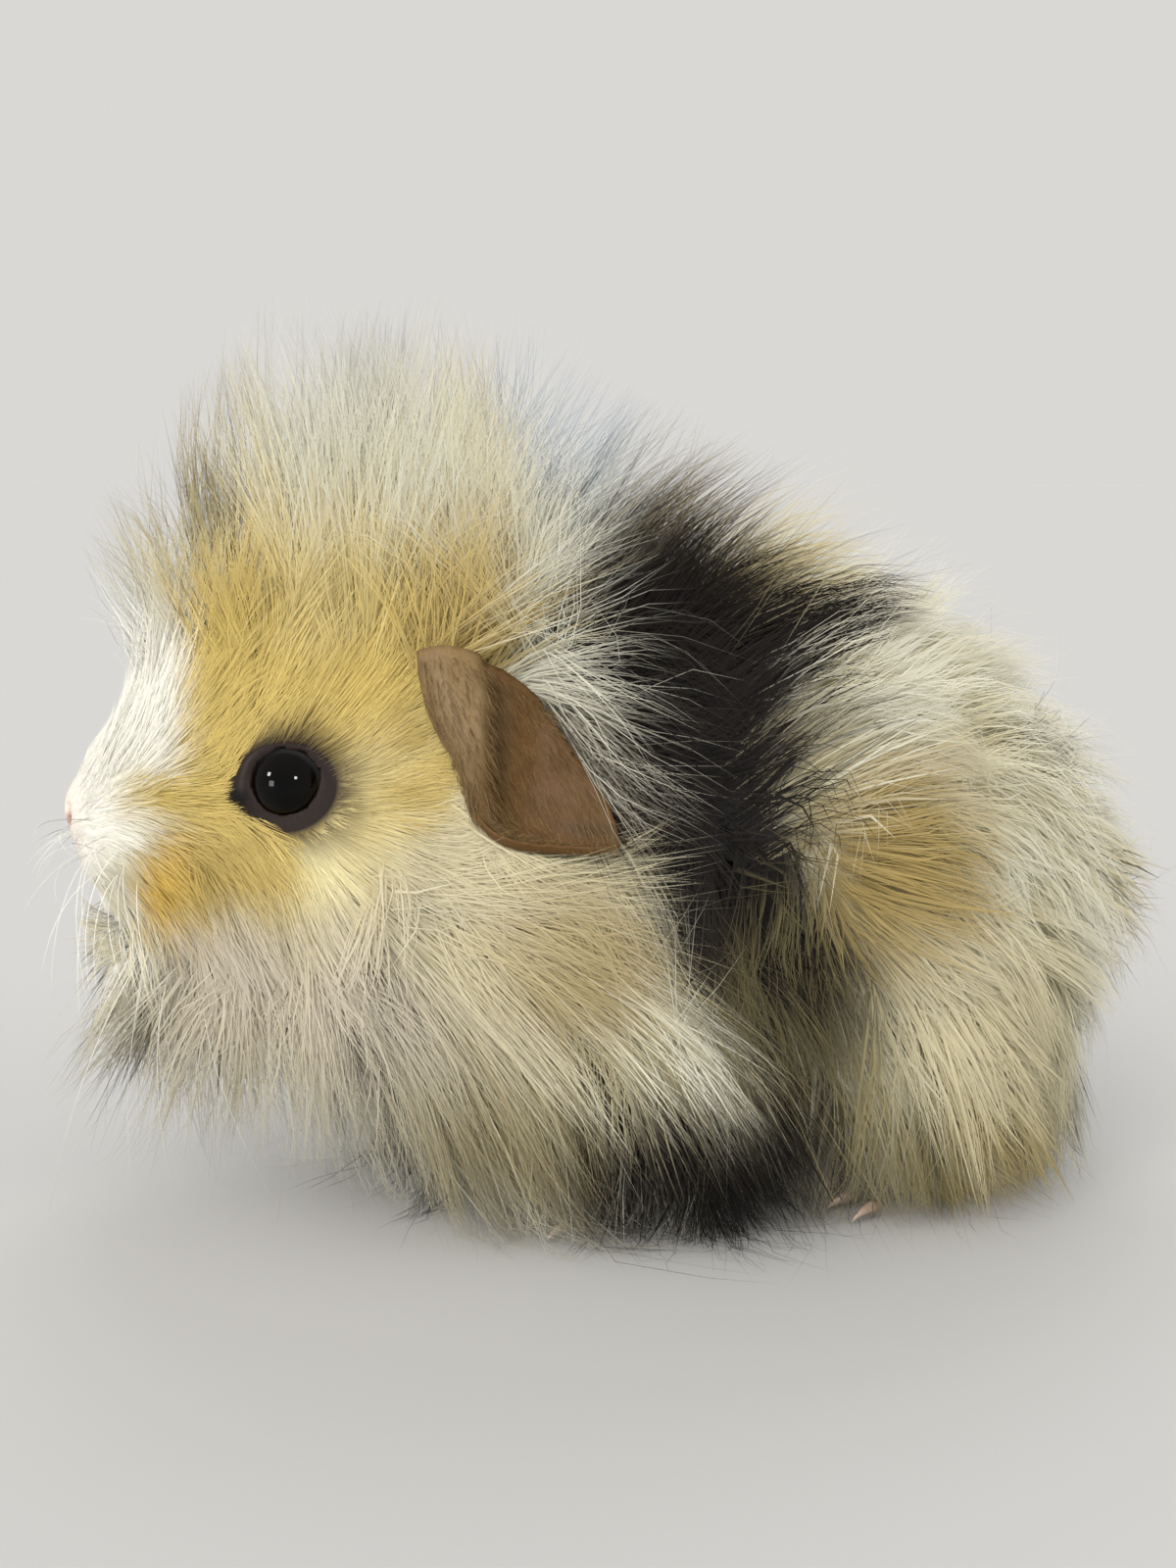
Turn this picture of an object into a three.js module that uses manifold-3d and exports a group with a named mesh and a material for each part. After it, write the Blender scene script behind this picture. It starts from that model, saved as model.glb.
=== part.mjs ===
// A young guinea pig with a long, whorled coat and a tall crest, standing still, life size.
// Millimetres, +Z up. The animal faces -X with its head turned a little to its right, and its left
// side is towards -Y. The origin is on the floor under the middle of the animal's box.
import * as THREE from "three";
import { mergeVertices } from "three/addons/utils/BufferGeometryUtils.js";
import Module from "manifold-3d";

const wasm = await Module();
wasm.setup();

const degree = Math.PI / 180;

// Driving sizes.
const eyeHeight = 50; // floor to the middle of the eyes
const headAhead = 45; // trunk's middle forward to the eyes
const headAside = 6.5; // how far the head stands to the right of the trunk's middle
const headTurn = 16 * degree; // how far the head looks to the animal's right
const eyeRadius = 4.7;
const eyeSpread = 12.6; // head's middle to an eye's centre
const earLength = 25;
const earHalfWidth = 10.5;
const earThickness = 1.4;
const hemHeight = 3; // floor to the lowest hairs of the coat
const ankleHeight = 5.6; // where a leg stands on its foot
const partGap = 0.3; // clear space between neighbouring solids
const legGap = 0.6; // and round the legs, whose facets are long
const footGap = 1.2; // and round the feet, whose pockets have no toes
const coatBlend = 3.6; // how softly neighbouring masses of the coat run together

// Places are measured forward, left and up: on the head from the middle of the eyes, and on the
// body from the floor under the trunk's middle.
const headFrame = turnedFrame(new THREE.Vector3(-headAhead, headAside, eyeHeight), headTurn);
const bodyFrame = turnedFrame(new THREE.Vector3(), 0);

function turnedFrame(origin, turn) {
  const forward = new THREE.Vector3(-Math.cos(turn), Math.sin(turn), 0);
  const left = new THREE.Vector3(-Math.sin(turn), -Math.cos(turn), 0);
  return new THREE.Matrix4().makeBasis(forward, left, new THREE.Vector3(0, 0, 1)).setPosition(origin);
}

function place(frame, at) {
  return new THREE.Vector3(...at).applyMatrix4(frame);
}

// The coat's outer shape, to the tips of the hair, as masses that run softly together. "at" is a
// centre and "size" three half widths; "pitch" tips the top forward; "paired" adds the right side.
const coatMasses = [
  // face
  { frame: headFrame, at: [18.8, 0, -3.4], size: [4.4, 5, 4.6] }, // nose
  { frame: headFrame, at: [12.4, 0, -3], size: [9.2, 9, 8.6] }, // muzzle
  { frame: headFrame, at: [9, 4.5, -12], size: [11, 6.5, 7], paired: true }, // lips
  { frame: headFrame, at: [9.6, 0, 11], size: [10, 10, 14], pitch: 14 }, // blaze
  { frame: headFrame, at: [-1, 0, 3], size: [17, 13.4, 15] }, // brow
  { frame: headFrame, at: [-3, 8.5, -15], size: [16, 11, 10.5], paired: true }, // cheeks
  { frame: headFrame, at: [17.4, 0, -25.5], size: [8.6, 8, 5.5] }, // chin
  { frame: headFrame, at: [8, 0, -28.5], size: [15.5, 14, 12.5] }, // beard
  { frame: headFrame, at: [-11, 7, -24.5], size: [15, 15, 12.5], paired: true }, // jowls
  { frame: headFrame, at: [-21, 11, -15], size: [16, 15, 13], paired: true }, // ruff
  // crest, from the forehead back over the nape
  { frame: headFrame, at: [11.5, 0, 23], size: [9.5, 11, 13], pitch: -8 },
  { frame: headFrame, at: [-4, 0, 31], size: [13, 15, 23] },
  { frame: headFrame, at: [-20, 0, 30.5], size: [18, 18, 20] },
  { frame: headFrame, at: [-20, 0, 8], size: [20, 16, 20] }, // nape
  // trunk
  { frame: bodyFrame, at: [20, 0, 30], size: [20, 30, 25] }, // breast
  { frame: bodyFrame, at: [5, 0, 48.5], size: [27, 36, 38.5] }, // shoulders
  { frame: bodyFrame, at: [-8, 0, 42], size: [32, 42, 43] }, // barrel
  { frame: bodyFrame, at: [-26, 0, 36.5], size: [26.5, 37.5, 34] }, // rump
  { frame: bodyFrame, at: [-42, 0, 31], size: [17, 27, 18.5] }, // tail end
  { frame: bodyFrame, at: [-5, 12, 13], size: [39, 34, 17], paired: true }, // skirt
];

// Every mass with its centre and the turn that brings a direction into its own axes.
const settledMasses = coatMasses.flatMap(({ frame, at: [forward, left, up], size, pitch = 0, paired }) => {
  const tipped = new THREE.Quaternion().setFromAxisAngle(new THREE.Vector3(0, 1, 0), pitch * degree);
  const inward = new THREE.Quaternion().setFromRotationMatrix(frame).multiply(tipped).invert();
  const sides = paired ? [left, -left] : [left];
  return sides.map((aside) => ({ centre: place(frame, [forward, aside, up]), inward, size }));
});

// The distance from a point to one mass, close to true near its surface and negative inside it.
function massDistance({ centre, inward, size }, point) {
  const q = point.clone().sub(centre).applyQuaternion(inward);
  const scaled = Math.hypot(q.x / size[0], q.y / size[1], q.z / size[2]);
  const slope = Math.hypot(q.x / size[0] ** 2, q.y / size[1] ** 2, q.z / size[2] ** 2);
  return slope > 0 ? (scaled * (scaled - 1)) / slope : -Math.min(...size);
}

function coatDistance(point) {
  const nearness = settledMasses.map((mass) => Math.exp(-massDistance(mass, point) / coatBlend));
  const masses = -coatBlend * Math.log(nearness.reduce((sum, value) => sum + value));
  return Math.max(masses, hemHeight - point.z);
}

// Where a ray from inside the coat leaves it, found by stepping in from well outside.
function coatPoint(from, direction) {
  const farOutside = 110;
  const closeEnough = 0.005;
  let reach = farOutside;
  let distance = coatDistance(from.clone().addScaledVector(direction, reach));
  while (distance > closeEnough) {
    reach -= distance * 0.8;
    distance = coatDistance(from.clone().addScaledVector(direction, reach));
  }
  return from.clone().addScaledVector(direction, reach);
}

// The coat's surface stands on rings along this line, with a fan of rings round each of its ends.
const coatSpine = new THREE.CatmullRomCurve3([
  place(headFrame, [10, 0, -6]),
  place(headFrame, [-8, 0, -2]),
  place(bodyFrame, [20, 0, 43]),
  place(bodyFrame, [-4, 0, 38]),
  place(bodyFrame, [-34, 0, 36]),
]);

function coatRing(along, lean) {
  const ringSides = 28;
  const centre = coatSpine.getPoint(along);
  const axis = coatSpine.getTangent(along);
  const aside = new THREE.Vector3(0, 0, 1).cross(axis).normalize();
  const above = axis.clone().cross(aside);
  return Array.from({ length: ringSides }, (_, i) => {
    const angle = (i / ringSides) * 360 * degree;
    const outward = aside.clone().multiplyScalar(Math.cos(angle)).addScaledVector(above, Math.sin(angle));
    return coatPoint(centre, outward.multiplyScalar(Math.cos(lean)).addScaledVector(axis, Math.sin(lean)));
  });
}

function coatGeometry() {
  const fanSteps = 5;
  const trunkSteps = 24;
  const rings = [];
  for (let i = 1; i < fanSteps; i++) rings.push(coatRing(0, -90 * degree * (1 - i / fanSteps)));
  for (let i = 0; i <= trunkSteps; i++) rings.push(coatRing(i / trunkSteps, 0));
  for (let i = 1; i < fanSteps; i++) rings.push(coatRing(1, (90 * degree * i) / fanSteps));
  const noseTip = coatPoint(coatSpine.getPoint(0), coatSpine.getTangent(0).negate());
  const rumpTip = coatPoint(coatSpine.getPoint(1), coatSpine.getTangent(1));
  return ringedGeometry([[noseTip], ...rings, [rumpTip]]);
}

// A closed surface through rings of points, from a tip to a tip.
function ringedGeometry(rings) {
  const sides = rings[1].length;
  const points = rings.flat();
  const last = points.length - 1;
  const index = [];
  for (let i = 0; i < sides; i++) {
    const next = (i + 1) % sides;
    index.push(0, 1 + next, 1 + i);
    index.push(last, last - sides + i, last - sides + next);
    for (let a = 1; a < last - sides; a += sides) {
      index.push(a + i, a + next, a + sides + i);
      index.push(a + next, a + sides + next, a + sides + i);
    }
  }
  const geometry = new THREE.BufferGeometry().setFromPoints(points);
  geometry.setIndex(index);
  return geometry;
}

// A round limb along a line through stations, each a place and a radius; its ends are rounded.
function limbGeometry(frame, stations, { sides, capSteps, grow = 0 }) {
  const line = new THREE.CatmullRomCurve3(stations.map((station) => place(frame, station.at)));
  const lineSteps = stations.length - 1;
  const ringAt = (along, lean) => {
    const position = along * (stations.length - 1);
    const whole = Math.min(Math.floor(position), stations.length - 2);
    const [before, after] = [stations[whole].radius, stations[whole + 1].radius];
    const radius = THREE.MathUtils.lerp(before, after, position - whole) + grow;
    const axis = line.getTangent(along);
    const aside = new THREE.Vector3(0, 0, 1).cross(axis).normalize();
    const above = axis.clone().cross(aside);
    const centre = line.getPoint(along).addScaledVector(axis, Math.sin(lean) * radius);
    const across = Math.cos(lean) * radius;
    if (Math.abs(lean) === 90 * degree) return [centre];
    return Array.from({ length: sides }, (_, i) => {
      const angle = (i / sides) * 360 * degree;
      return centre
        .clone()
        .addScaledVector(aside, across * Math.cos(angle))
        .addScaledVector(above, across * Math.sin(angle));
    });
  };
  const rings = [];
  for (let i = 0; i < capSteps; i++) rings.push(ringAt(0, -90 * degree * (1 - i / capSteps)));
  for (let i = 0; i <= lineSteps; i++) rings.push(ringAt(i / lineSteps, 0));
  for (let i = 1; i <= capSteps; i++) rings.push(ringAt(1, (90 * degree * i) / capSteps));
  return ringedGeometry(rings);
}

function ellipsoidGeometry(frame, at, size, sides, grow = 0) {
  const geometry = new THREE.SphereGeometry(1, sides, Math.round(sides * 0.6));
  geometry.scale(size[0] + grow, size[1] + grow, size[2] + grow);
  return geometry.translate(...at).applyMatrix4(frame);
}

// Geometry to solid and back, for the joins and cuts.
function solidFrom(geometry) {
  geometry.deleteAttribute("normal");
  geometry.deleteAttribute("uv");
  const merged = mergeVertices(geometry, 1e-4);
  const vertProperties = new Float32Array(merged.attributes.position.array);
  const triVerts = new Uint32Array(merged.index.array);
  return new wasm.Manifold(new wasm.Mesh({ numProp: 3, vertProperties, triVerts }));
}

function geometryFrom(solid) {
  const mesh = solid.getMesh();
  const geometry = new THREE.BufferGeometry();
  geometry.setAttribute("position", new THREE.BufferAttribute(mesh.vertProperties, 3));
  geometry.setIndex(new THREE.BufferAttribute(mesh.triVerts, 1));
  return geometry;
}

const joined = (solids) => solids.reduce((whole, solid) => whole.add(solid));
const hollowed = (solid, cutters) => cutters.reduce((left, cutter) => left.subtract(cutter), solid);

// The one body that matters after a cut, without slivers or sealed pockets.
function mainBody(solid) {
  return solid.decompose().reduce((largest, piece) => (piece.volume() > largest.volume() ? piece : largest));
}

// All that lies on one side of a plane, as a block with a face on it.
function halfSpace(point, towards) {
  const blockSize = 400;
  const turn = new THREE.Quaternion().setFromUnitVectors(new THREE.Vector3(1, 0, 0), towards);
  const block = new THREE.BoxGeometry(blockSize, blockSize, blockSize).translate(blockSize / 2, 0, 0);
  return solidFrom(block.applyQuaternion(turn).translate(...point));
}

const aboveFloor = halfSpace(new THREE.Vector3(), new THREE.Vector3(0, 0, 1));

const sides = [
  { name: "left", sign: 1 },
  { name: "right", sign: -1 },
];

function eyeSolid(sign) {
  const size = [eyeRadius, eyeRadius, eyeRadius];
  return solidFrom(ellipsoidGeometry(headFrame, [0, sign * eyeSpread, 0], size, 18));
}

// The pocket has fewer facets than the eye, so it is a little wider to stay clear of it.
function eyePocket(sign) {
  const size = [eyeRadius, eyeRadius, eyeRadius];
  return solidFrom(ellipsoidGeometry(headFrame, [0, sign * eyeSpread, 0], size, 12, 2 * partGap));
}

// The hair parts round the eye in a shallow hollow.
function eyeHollow(sign) {
  return solidFrom(ellipsoidGeometry(headFrame, [0.5, sign * (eyeSpread + 6.4), 0.3], [6.8, 4.4, 6], 10));
}

// The ear's own axes: along it from the root, up across it, and out from the head.
function earFrame(sign) {
  const along = new THREE.Vector3(-0.57, 0.64, -0.52).normalize();
  const outward = new THREE.Vector3(0.3, 0.9, 0.22).projectOnPlane(along).normalize();
  const upward = outward.clone().cross(along);
  const root = new THREE.Matrix4().makeBasis(along, upward, outward).setPosition(-18.5, 15.5, 11);
  return headFrame.clone().multiply(new THREE.Matrix4().makeScale(1, sign, 1)).multiply(root);
}

// A thin petal, hollow on its outer side, that hangs back and down from the head.
function earSolid(sign, grow) {
  const frame = earFrame(sign);
  const rimSteps = 18;
  const faceSteps = 4;
  const half = earThickness / 2 + grow;
  const facePoint = (step, angle, offset) => {
    const p = (step / faceSteps) * Math.cos(angle);
    const q = (step / faceSteps) * Math.sin(angle);
    const along = (earLength / 2) * (1 + p) + grow * p;
    const across = (earHalfWidth + grow) * q * (1 - 0.18 * p) + 1.5 * (1 + p);
    const cupped = 3.4 * (p * p + q * q) - 2.2;
    const curledRim = q < 0 ? 1.6 * q ** 4 : 0;
    return place(frame, [along, across, cupped + curledRim + offset]);
  };
  const ring = (step, offset) =>
    Array.from({ length: rimSteps }, (_, i) => facePoint(step, (-sign * i * 360 * degree) / rimSteps, offset));
  const rings = [[facePoint(0, 0, half)]];
  for (let step = 1; step < faceSteps; step++) rings.push(ring(step, half));
  rings.push(ring(faceSteps - 0.15, half * 0.7), ring(faceSteps - 0.15, -half * 0.7));
  for (let step = faceSteps - 1; step > 0; step--) rings.push(ring(step, -half));
  rings.push([facePoint(0, 0, -half)]);
  return solidFrom(ringedGeometry(rings));
}

// The hair lies open over the ear.
function earHollow(sign) {
  const hollow = ellipsoidGeometry(earFrame(sign), [earLength * 0.56, 1.5, 6.6], [15, 13, 8.6], 12);
  return framedSolid(hollow, sign);
}

function noseSolid(grow) {
  const pad = solidFrom(ellipsoidGeometry(headFrame, [23.3, 0, -3.9], [3.4, 4.4, 3.8], 12, grow));
  if (grow > 0) return pad;
  const nostrils = sides.map(({ sign }) =>
    solidFrom(ellipsoidGeometry(headFrame, [25.8, sign * 2.3, -4.3], [1.6, 0.7, 1.1], 6)),
  );
  return hollowed(pad, nostrils);
}

// Where each pair of legs stands: "foot" is the heel, and a toe's "turn" is between neighbours. Leg
// stations run from the ankle up into the trunk.
const legPairs = [
  {
    name: "fore",
    foot: [12, 17, 0],
    footTurn: 6,
    palm: { at: [4.2, 0, 2.6], size: [5.2, 4, 3.6] },
    toes: { count: 4, root: 6.5, spacing: 2.1, length: 6, radius: 1.25, height: 1.3, turn: 13 },
    leg: [
      { at: [2.2, 0, ankleHeight + 3.6], radius: 3.3 },
      { at: [0, 0.5, 14], radius: 3.8 },
      { at: [-6, 1.5, 24], radius: 5.5 },
    ],
  },
  {
    name: "hind",
    foot: [-38, 21, 0],
    footTurn: 9,
    palm: { at: [9, 0, 2.6], size: [10.5, 3.9, 3.6] },
    toes: { count: 3, root: 14.5, spacing: 2.7, length: 8, radius: 1.35, height: 1.3, turn: 11 },
    leg: [
      { at: [3.5, 0, ankleHeight + 3.9], radius: 3.6 },
      { at: [4, 1, 16], radius: 5.5 },
      { at: [8, 0, 26], radius: 9 },
    ],
  },
];

function footFrame(pair, sign) {
  const [forward, left, up] = pair.foot;
  const mirror = new THREE.Matrix4().makeScale(1, sign, 1);
  const turned = new THREE.Matrix4().makeRotationZ(pair.footTurn * degree);
  const stood = new THREE.Matrix4().makeTranslation(forward, sign * left, up);
  return bodyFrame.clone().multiply(stood).multiply(mirror).multiply(turned);
}

// A mirrored frame turns a surface inside out, so its triangles are turned back.
function framedSolid(geometry, sign) {
  if (sign < 0) {
    const index = geometry.index.array;
    for (let i = 0; i < index.length; i += 3) [index[i], index[i + 1]] = [index[i + 1], index[i]];
  }
  return solidFrom(geometry);
}

// A place on one toe, a distance ahead of its root; the toes fan out evenly about the foot's middle.
function toePlace(toes, toe, ahead, height) {
  const fromMiddle = toe - (toes.count - 1) / 2;
  const turn = fromMiddle * toes.turn * degree;
  return [toes.root + ahead * Math.cos(turn), fromMiddle * toes.spacing + ahead * Math.sin(turn), height];
}

// A claw stands just off its toe's tip and curves down to a little above the floor.
function clawSolid(pair, sign, toe) {
  const { toes } = pair;
  const stations = [
    { at: toePlace(toes, toe, toes.length + 1.1, 1.4), radius: 0.62 },
    { at: toePlace(toes, toe, toes.length + 2.4, 1.25), radius: 0.5 },
    { at: toePlace(toes, toe, toes.length + 3.6, 0.7), radius: 0.3 },
  ];
  return solidFrom(limbGeometry(footFrame(pair, sign), stations, { sides: 6, capSteps: 1 }));
}

function footPad(pair, sign, grow) {
  const { at, size } = pair.palm;
  return framedSolid(ellipsoidGeometry(footFrame(pair, sign), at, size, 10, grow), sign);
}

function footSolid(pair, sign) {
  const { toes } = pair;
  const fingers = Array.from({ length: toes.count }, (_, toe) => {
    const stations = [
      { at: toePlace(toes, toe, -2, toes.height + 0.6), radius: toes.radius },
      { at: toePlace(toes, toe, toes.length - 0.9, toes.height - 0.3), radius: toes.radius * 0.85 },
    ];
    return solidFrom(limbGeometry(footFrame(pair, sign), stations, { sides: 6, capSteps: 2 }));
  });
  return joined([footPad(pair, sign, 0), ...fingers]);
}

// The leg ends where its foot begins.
function legSolid(pair, sign, grow) {
  const whole = solidFrom(limbGeometry(footFrame(pair, sign), pair.leg, { sides: 10, capSteps: 2, grow }));
  const ankle = new THREE.Vector3(0, 0, ankleHeight - grow);
  return whole.intersect(halfSpace(ankle, new THREE.Vector3(0, 0, 1)));
}

// The planes that part the coat, from the nose to the tail. Each leans forward at its foot.
const coatCuts = [
  { name: "head", frame: headFrame, at: [-24, 0, 0], lean: 24 },
  { name: "neck", frame: bodyFrame, at: [8, 0, 50], lean: 20 },
  { name: "shoulders", frame: bodyFrame, at: [-8, 0, 50], lean: 8 },
  { name: "barrel", frame: bodyFrame, at: [-28, 0, 50], lean: 0 },
];

function partedCoat(coat) {
  const pieces = {};
  let rest = coat;
  for (const { name, frame, at, lean } of coatCuts) {
    const ahead = new THREE.Vector3(Math.cos(lean * degree), 0, Math.sin(lean * degree));
    const towards = ahead.transformDirection(frame);
    const point = place(frame, at);
    const nearFace = point.clone().addScaledVector(towards, partGap / 2);
    const farFace = point.clone().addScaledVector(towards, -partGap / 2);
    pieces[name] = mainBody(rest.intersect(halfSpace(nearFace, towards)));
    rest = rest.intersect(halfSpace(farFace, towards.clone().negate()));
  }
  pieces.hindquarters = mainBody(rest);
  return pieces;
}

function hairMaterial(color) {
  return new THREE.MeshStandardMaterial({ color, roughness: 0.85, metalness: 0 });
}

const hairMaterials = {
  head: hairMaterial(0xdcc08c),
  neck: hairMaterial(0xe6dcc4),
  shoulders: hairMaterial(0x3a352c),
  barrel: hairMaterial(0xc9a76c),
  hindquarters: hairMaterial(0xe8dcc0),
};
const darkLegMaterial = hairMaterial(0x4a4036);
const paleLegMaterial = hairMaterial(0xdcc3a2);
const earMaterial = new THREE.MeshStandardMaterial({ color: 0x94705f, roughness: 0.6, metalness: 0 });
const eyeMaterial = new THREE.MeshStandardMaterial({ color: 0x120c0a, roughness: 0.05, metalness: 0 });
const noseMaterial = new THREE.MeshStandardMaterial({ color: 0xe0b4a4, roughness: 0.55, metalness: 0 });
const clawMaterial = new THREE.MeshStandardMaterial({ color: 0x7a6656, roughness: 0.35, metalness: 0 });

const animal = new THREE.Group();

function addNode(name, solid, material) {
  const mesh = new THREE.Mesh(geometryFrom(solid), material);
  mesh.name = name;
  animal.add(mesh);
}

function addLeg(pair, side) {
  const { name, sign } = side;
  const dark = pair.name === "fore" && name === "left";
  const material = dark ? darkLegMaterial : paleLegMaterial;
  const belowAnkle = halfSpace(new THREE.Vector3(0, 0, ankleHeight - partGap), new THREE.Vector3(0, 0, -1));
  const foot = footSolid(pair, sign).intersect(belowAnkle).intersect(aboveFloor);
  addNode(`${pair.name}leg_${name}`, legSolid(pair, sign, 0), material);
  addNode(`${pair.name}foot_${name}`, foot, material);
  for (let toe = 0; toe < pair.toes.count; toe++) {
    addNode(`${pair.name}claw_${name}_${toe + 1}`, clawSolid(pair, sign, toe), clawMaterial);
  }
}

const pockets = sides.flatMap(({ sign }) => [
  eyePocket(sign),
  eyeHollow(sign),
  earSolid(sign, partGap),
  earHollow(sign),
  ...legPairs.flatMap((pair) => [footPad(pair, sign, footGap), legSolid(pair, sign, legGap)]),
]);
const coatPieces = partedCoat(hollowed(solidFrom(coatGeometry()), [...pockets, noseSolid(partGap)]));
for (const [name, solid] of Object.entries(coatPieces)) addNode(name, solid, hairMaterials[name]);
addNode("nose", noseSolid(0), noseMaterial);
for (const side of sides) {
  addNode(`eye_${side.name}`, eyeSolid(side.sign), eyeMaterial);
  addNode(`ear_${side.name}`, earSolid(side.sign, 0), earMaterial);
  for (const pair of legPairs) addLeg(pair, side);
}

// Stand the animal on the floor with the middle of its box over the origin.
const box = new THREE.Box3().setFromObject(animal);
const middle = box.getCenter(new THREE.Vector3());
animal.position.set(-middle.x, -middle.y, -box.min.z);

export default animal;
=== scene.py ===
import math
import bmesh
import bpy
import numpy as np
import openvdb
from mathutils import Matrix, Vector, kdtree
from mathutils.bvhtree import BVHTree


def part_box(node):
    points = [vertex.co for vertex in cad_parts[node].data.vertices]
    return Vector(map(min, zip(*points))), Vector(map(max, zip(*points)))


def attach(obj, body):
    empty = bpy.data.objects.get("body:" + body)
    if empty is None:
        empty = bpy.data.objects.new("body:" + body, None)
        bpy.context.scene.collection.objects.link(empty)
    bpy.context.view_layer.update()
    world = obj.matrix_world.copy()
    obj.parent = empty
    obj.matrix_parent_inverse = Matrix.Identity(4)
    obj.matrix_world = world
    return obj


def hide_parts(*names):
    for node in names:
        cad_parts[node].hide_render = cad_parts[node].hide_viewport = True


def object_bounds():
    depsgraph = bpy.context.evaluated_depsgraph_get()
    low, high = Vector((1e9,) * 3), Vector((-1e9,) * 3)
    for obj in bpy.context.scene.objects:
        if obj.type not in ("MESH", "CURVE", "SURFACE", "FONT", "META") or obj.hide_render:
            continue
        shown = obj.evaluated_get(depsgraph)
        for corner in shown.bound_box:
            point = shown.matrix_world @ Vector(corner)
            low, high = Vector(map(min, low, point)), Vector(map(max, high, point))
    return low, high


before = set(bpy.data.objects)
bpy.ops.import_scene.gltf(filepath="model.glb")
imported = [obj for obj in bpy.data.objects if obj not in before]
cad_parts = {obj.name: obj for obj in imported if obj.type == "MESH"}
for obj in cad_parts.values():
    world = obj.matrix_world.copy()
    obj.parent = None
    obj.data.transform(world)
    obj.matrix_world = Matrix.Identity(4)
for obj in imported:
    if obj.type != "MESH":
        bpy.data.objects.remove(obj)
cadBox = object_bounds()

# Shapes are worked out in millimetres and turned into metres when a mesh is made.
mm = 0.001
random = np.random.default_rng(41)


def unit(vectors):
    return vectors / np.maximum(np.linalg.norm(vectors, axis=-1, keepdims=True), 1e-9)


def boxMiddle(node):
    low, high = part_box(node)
    return np.array((low + high) / 2) / mm


# Places are given forward, left and up: on the head from the middle between the eyes, on the
# body from the floor under the trunk's middle.
leftEye = boxMiddle("eye_left")
rightEye = boxMiddle("eye_right")
trunkFromEyes = np.array((45.0, -6.5))  # from the eyes back and left to the trunk's middle
headLeft = unit(leftEye - rightEye)
headOrigin = (leftEye + rightEye) / 2
bodyOrigin = np.array((headOrigin[0] + trunkFromEyes[0], headOrigin[1] + trunkFromEyes[1], 0.0))
head = {"origin": headOrigin, "axes": np.array((np.cross(headLeft, (0, 0, 1)), headLeft, (0, 0, 1)))}
body = {"origin": bodyOrigin, "axes": np.array(((-1.0, 0, 0), (0, -1.0, 0), (0, 0, 1.0)))}
print("frame loaded, eyes at", headOrigin.round(2))


def toWorld(space, points):
    return space["origin"] + np.asarray(points, float) @ space["axes"]


def toSpace(space, points):
    return (points - space["origin"]) @ space["axes"].T


def turned(space, vectors):
    return np.asarray(vectors, float) @ space["axes"]


# A place or a way given for the left side (1), or its mirror on the right (-1).
def placeOn(space, place, side):
    return toWorld(space, np.multiply(place, (1, side, 1)))


def wayOn(space, way, side):
    return turned(space, np.multiply(way, (1, side, 1)))


def bothSides(place):
    return [1.0, -1.0] if place[1] else [1.0]


# The shape of the animal under its coat, as masses that run softly together.
flesh = {
    "blend": 2.6,
    "masses": [  # space, middle, half sizes; those off the middle line are paired
        (head, (-5, 0, -1), (20, 14.2, 14)),  # skull
        (head, (5, 0, 4), (12, 11.5, 8.5)),  # brow
        (head, (13, 0, -0.5), (11, 6.8, 7)),  # bridge of the nose
        (head, (16.6, 0, -6.6), (8.4, 6.8, 7.2)),  # muzzle
        (head, (16.4, 3.4, -9), (6, 4.2, 4.6)),  # whisker pads
        (head, (14.2, 0, -16), (5.6, 4.6, 3.9)),  # lower lip and chin
        (head, (4, 0, -14.5), (14, 9.5, 7.5)),  # jaw
        (head, (-4, 7.5, -8.5), (13, 8.5, 9.5)),  # cheeks
        (head, (-9, 8.5, -13), (10, 8, 8)),  # jaw muscles
        (head, (-18, 8.5, 4), (7, 5, 7)),  # ear bases
        (head, (-20, 0, -1), (16, 14.5, 16)),  # nape
        (head, (-13, 0, -15), (15, 12.5, 9.5)),  # throat
        (body, (22, -2, 41), (16, 20, 21)),  # neck
        (body, (14, 0, 32), (20, 24, 22)),  # chest
        (body, (3, 0, 43), (24, 25.5, 23)),  # shoulders
        (body, (-10, 0, 40), (27, 29, 27)),  # barrel
        (body, (-27, 0, 36), (20, 26, 24)),  # rump
        (body, (-37.4, 0, 34), (11.6, 17, 14)),  # tail end
        (body, (-10, 0, 24), (27, 23, 13)),  # belly
    ],
}
feet = {
    "fore": {
        "heel": (9.5, 17), "turn": 6, "palm": ((4.2, 0, 2.6), (5.2, 3.9, 3.3)),
        "toes": 4, "toeRoot": 6.5, "toeSpacing": 2.1, "toeLength": 6.1, "toeRadius": 1.15,
        "toeTurn": 13,
        "leg": (((2.2, 0, 5.5), 2.9), ((1, 0.3, 9.5), 3.1), ((0, 0.5, 14), 3.7), ((-6, 1.5, 24), 5.5)),
    },
    "hind": {
        "heel": (-35, 21), "turn": 9, "palm": ((9, 0, 2.6), (10.5, 3.8, 3.3)),
        "toes": 3, "toeRoot": 14.5, "toeSpacing": 2.7, "toeLength": 8.1, "toeRadius": 1.3,
        "toeTurn": 11,
        "leg": (((3, 0, 5.5), 3.2), ((3.5, 0, 9.5), 3.6), ((4, 1, 16), 5.5), ((8, 0, 26), 9)),
    },
}
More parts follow.
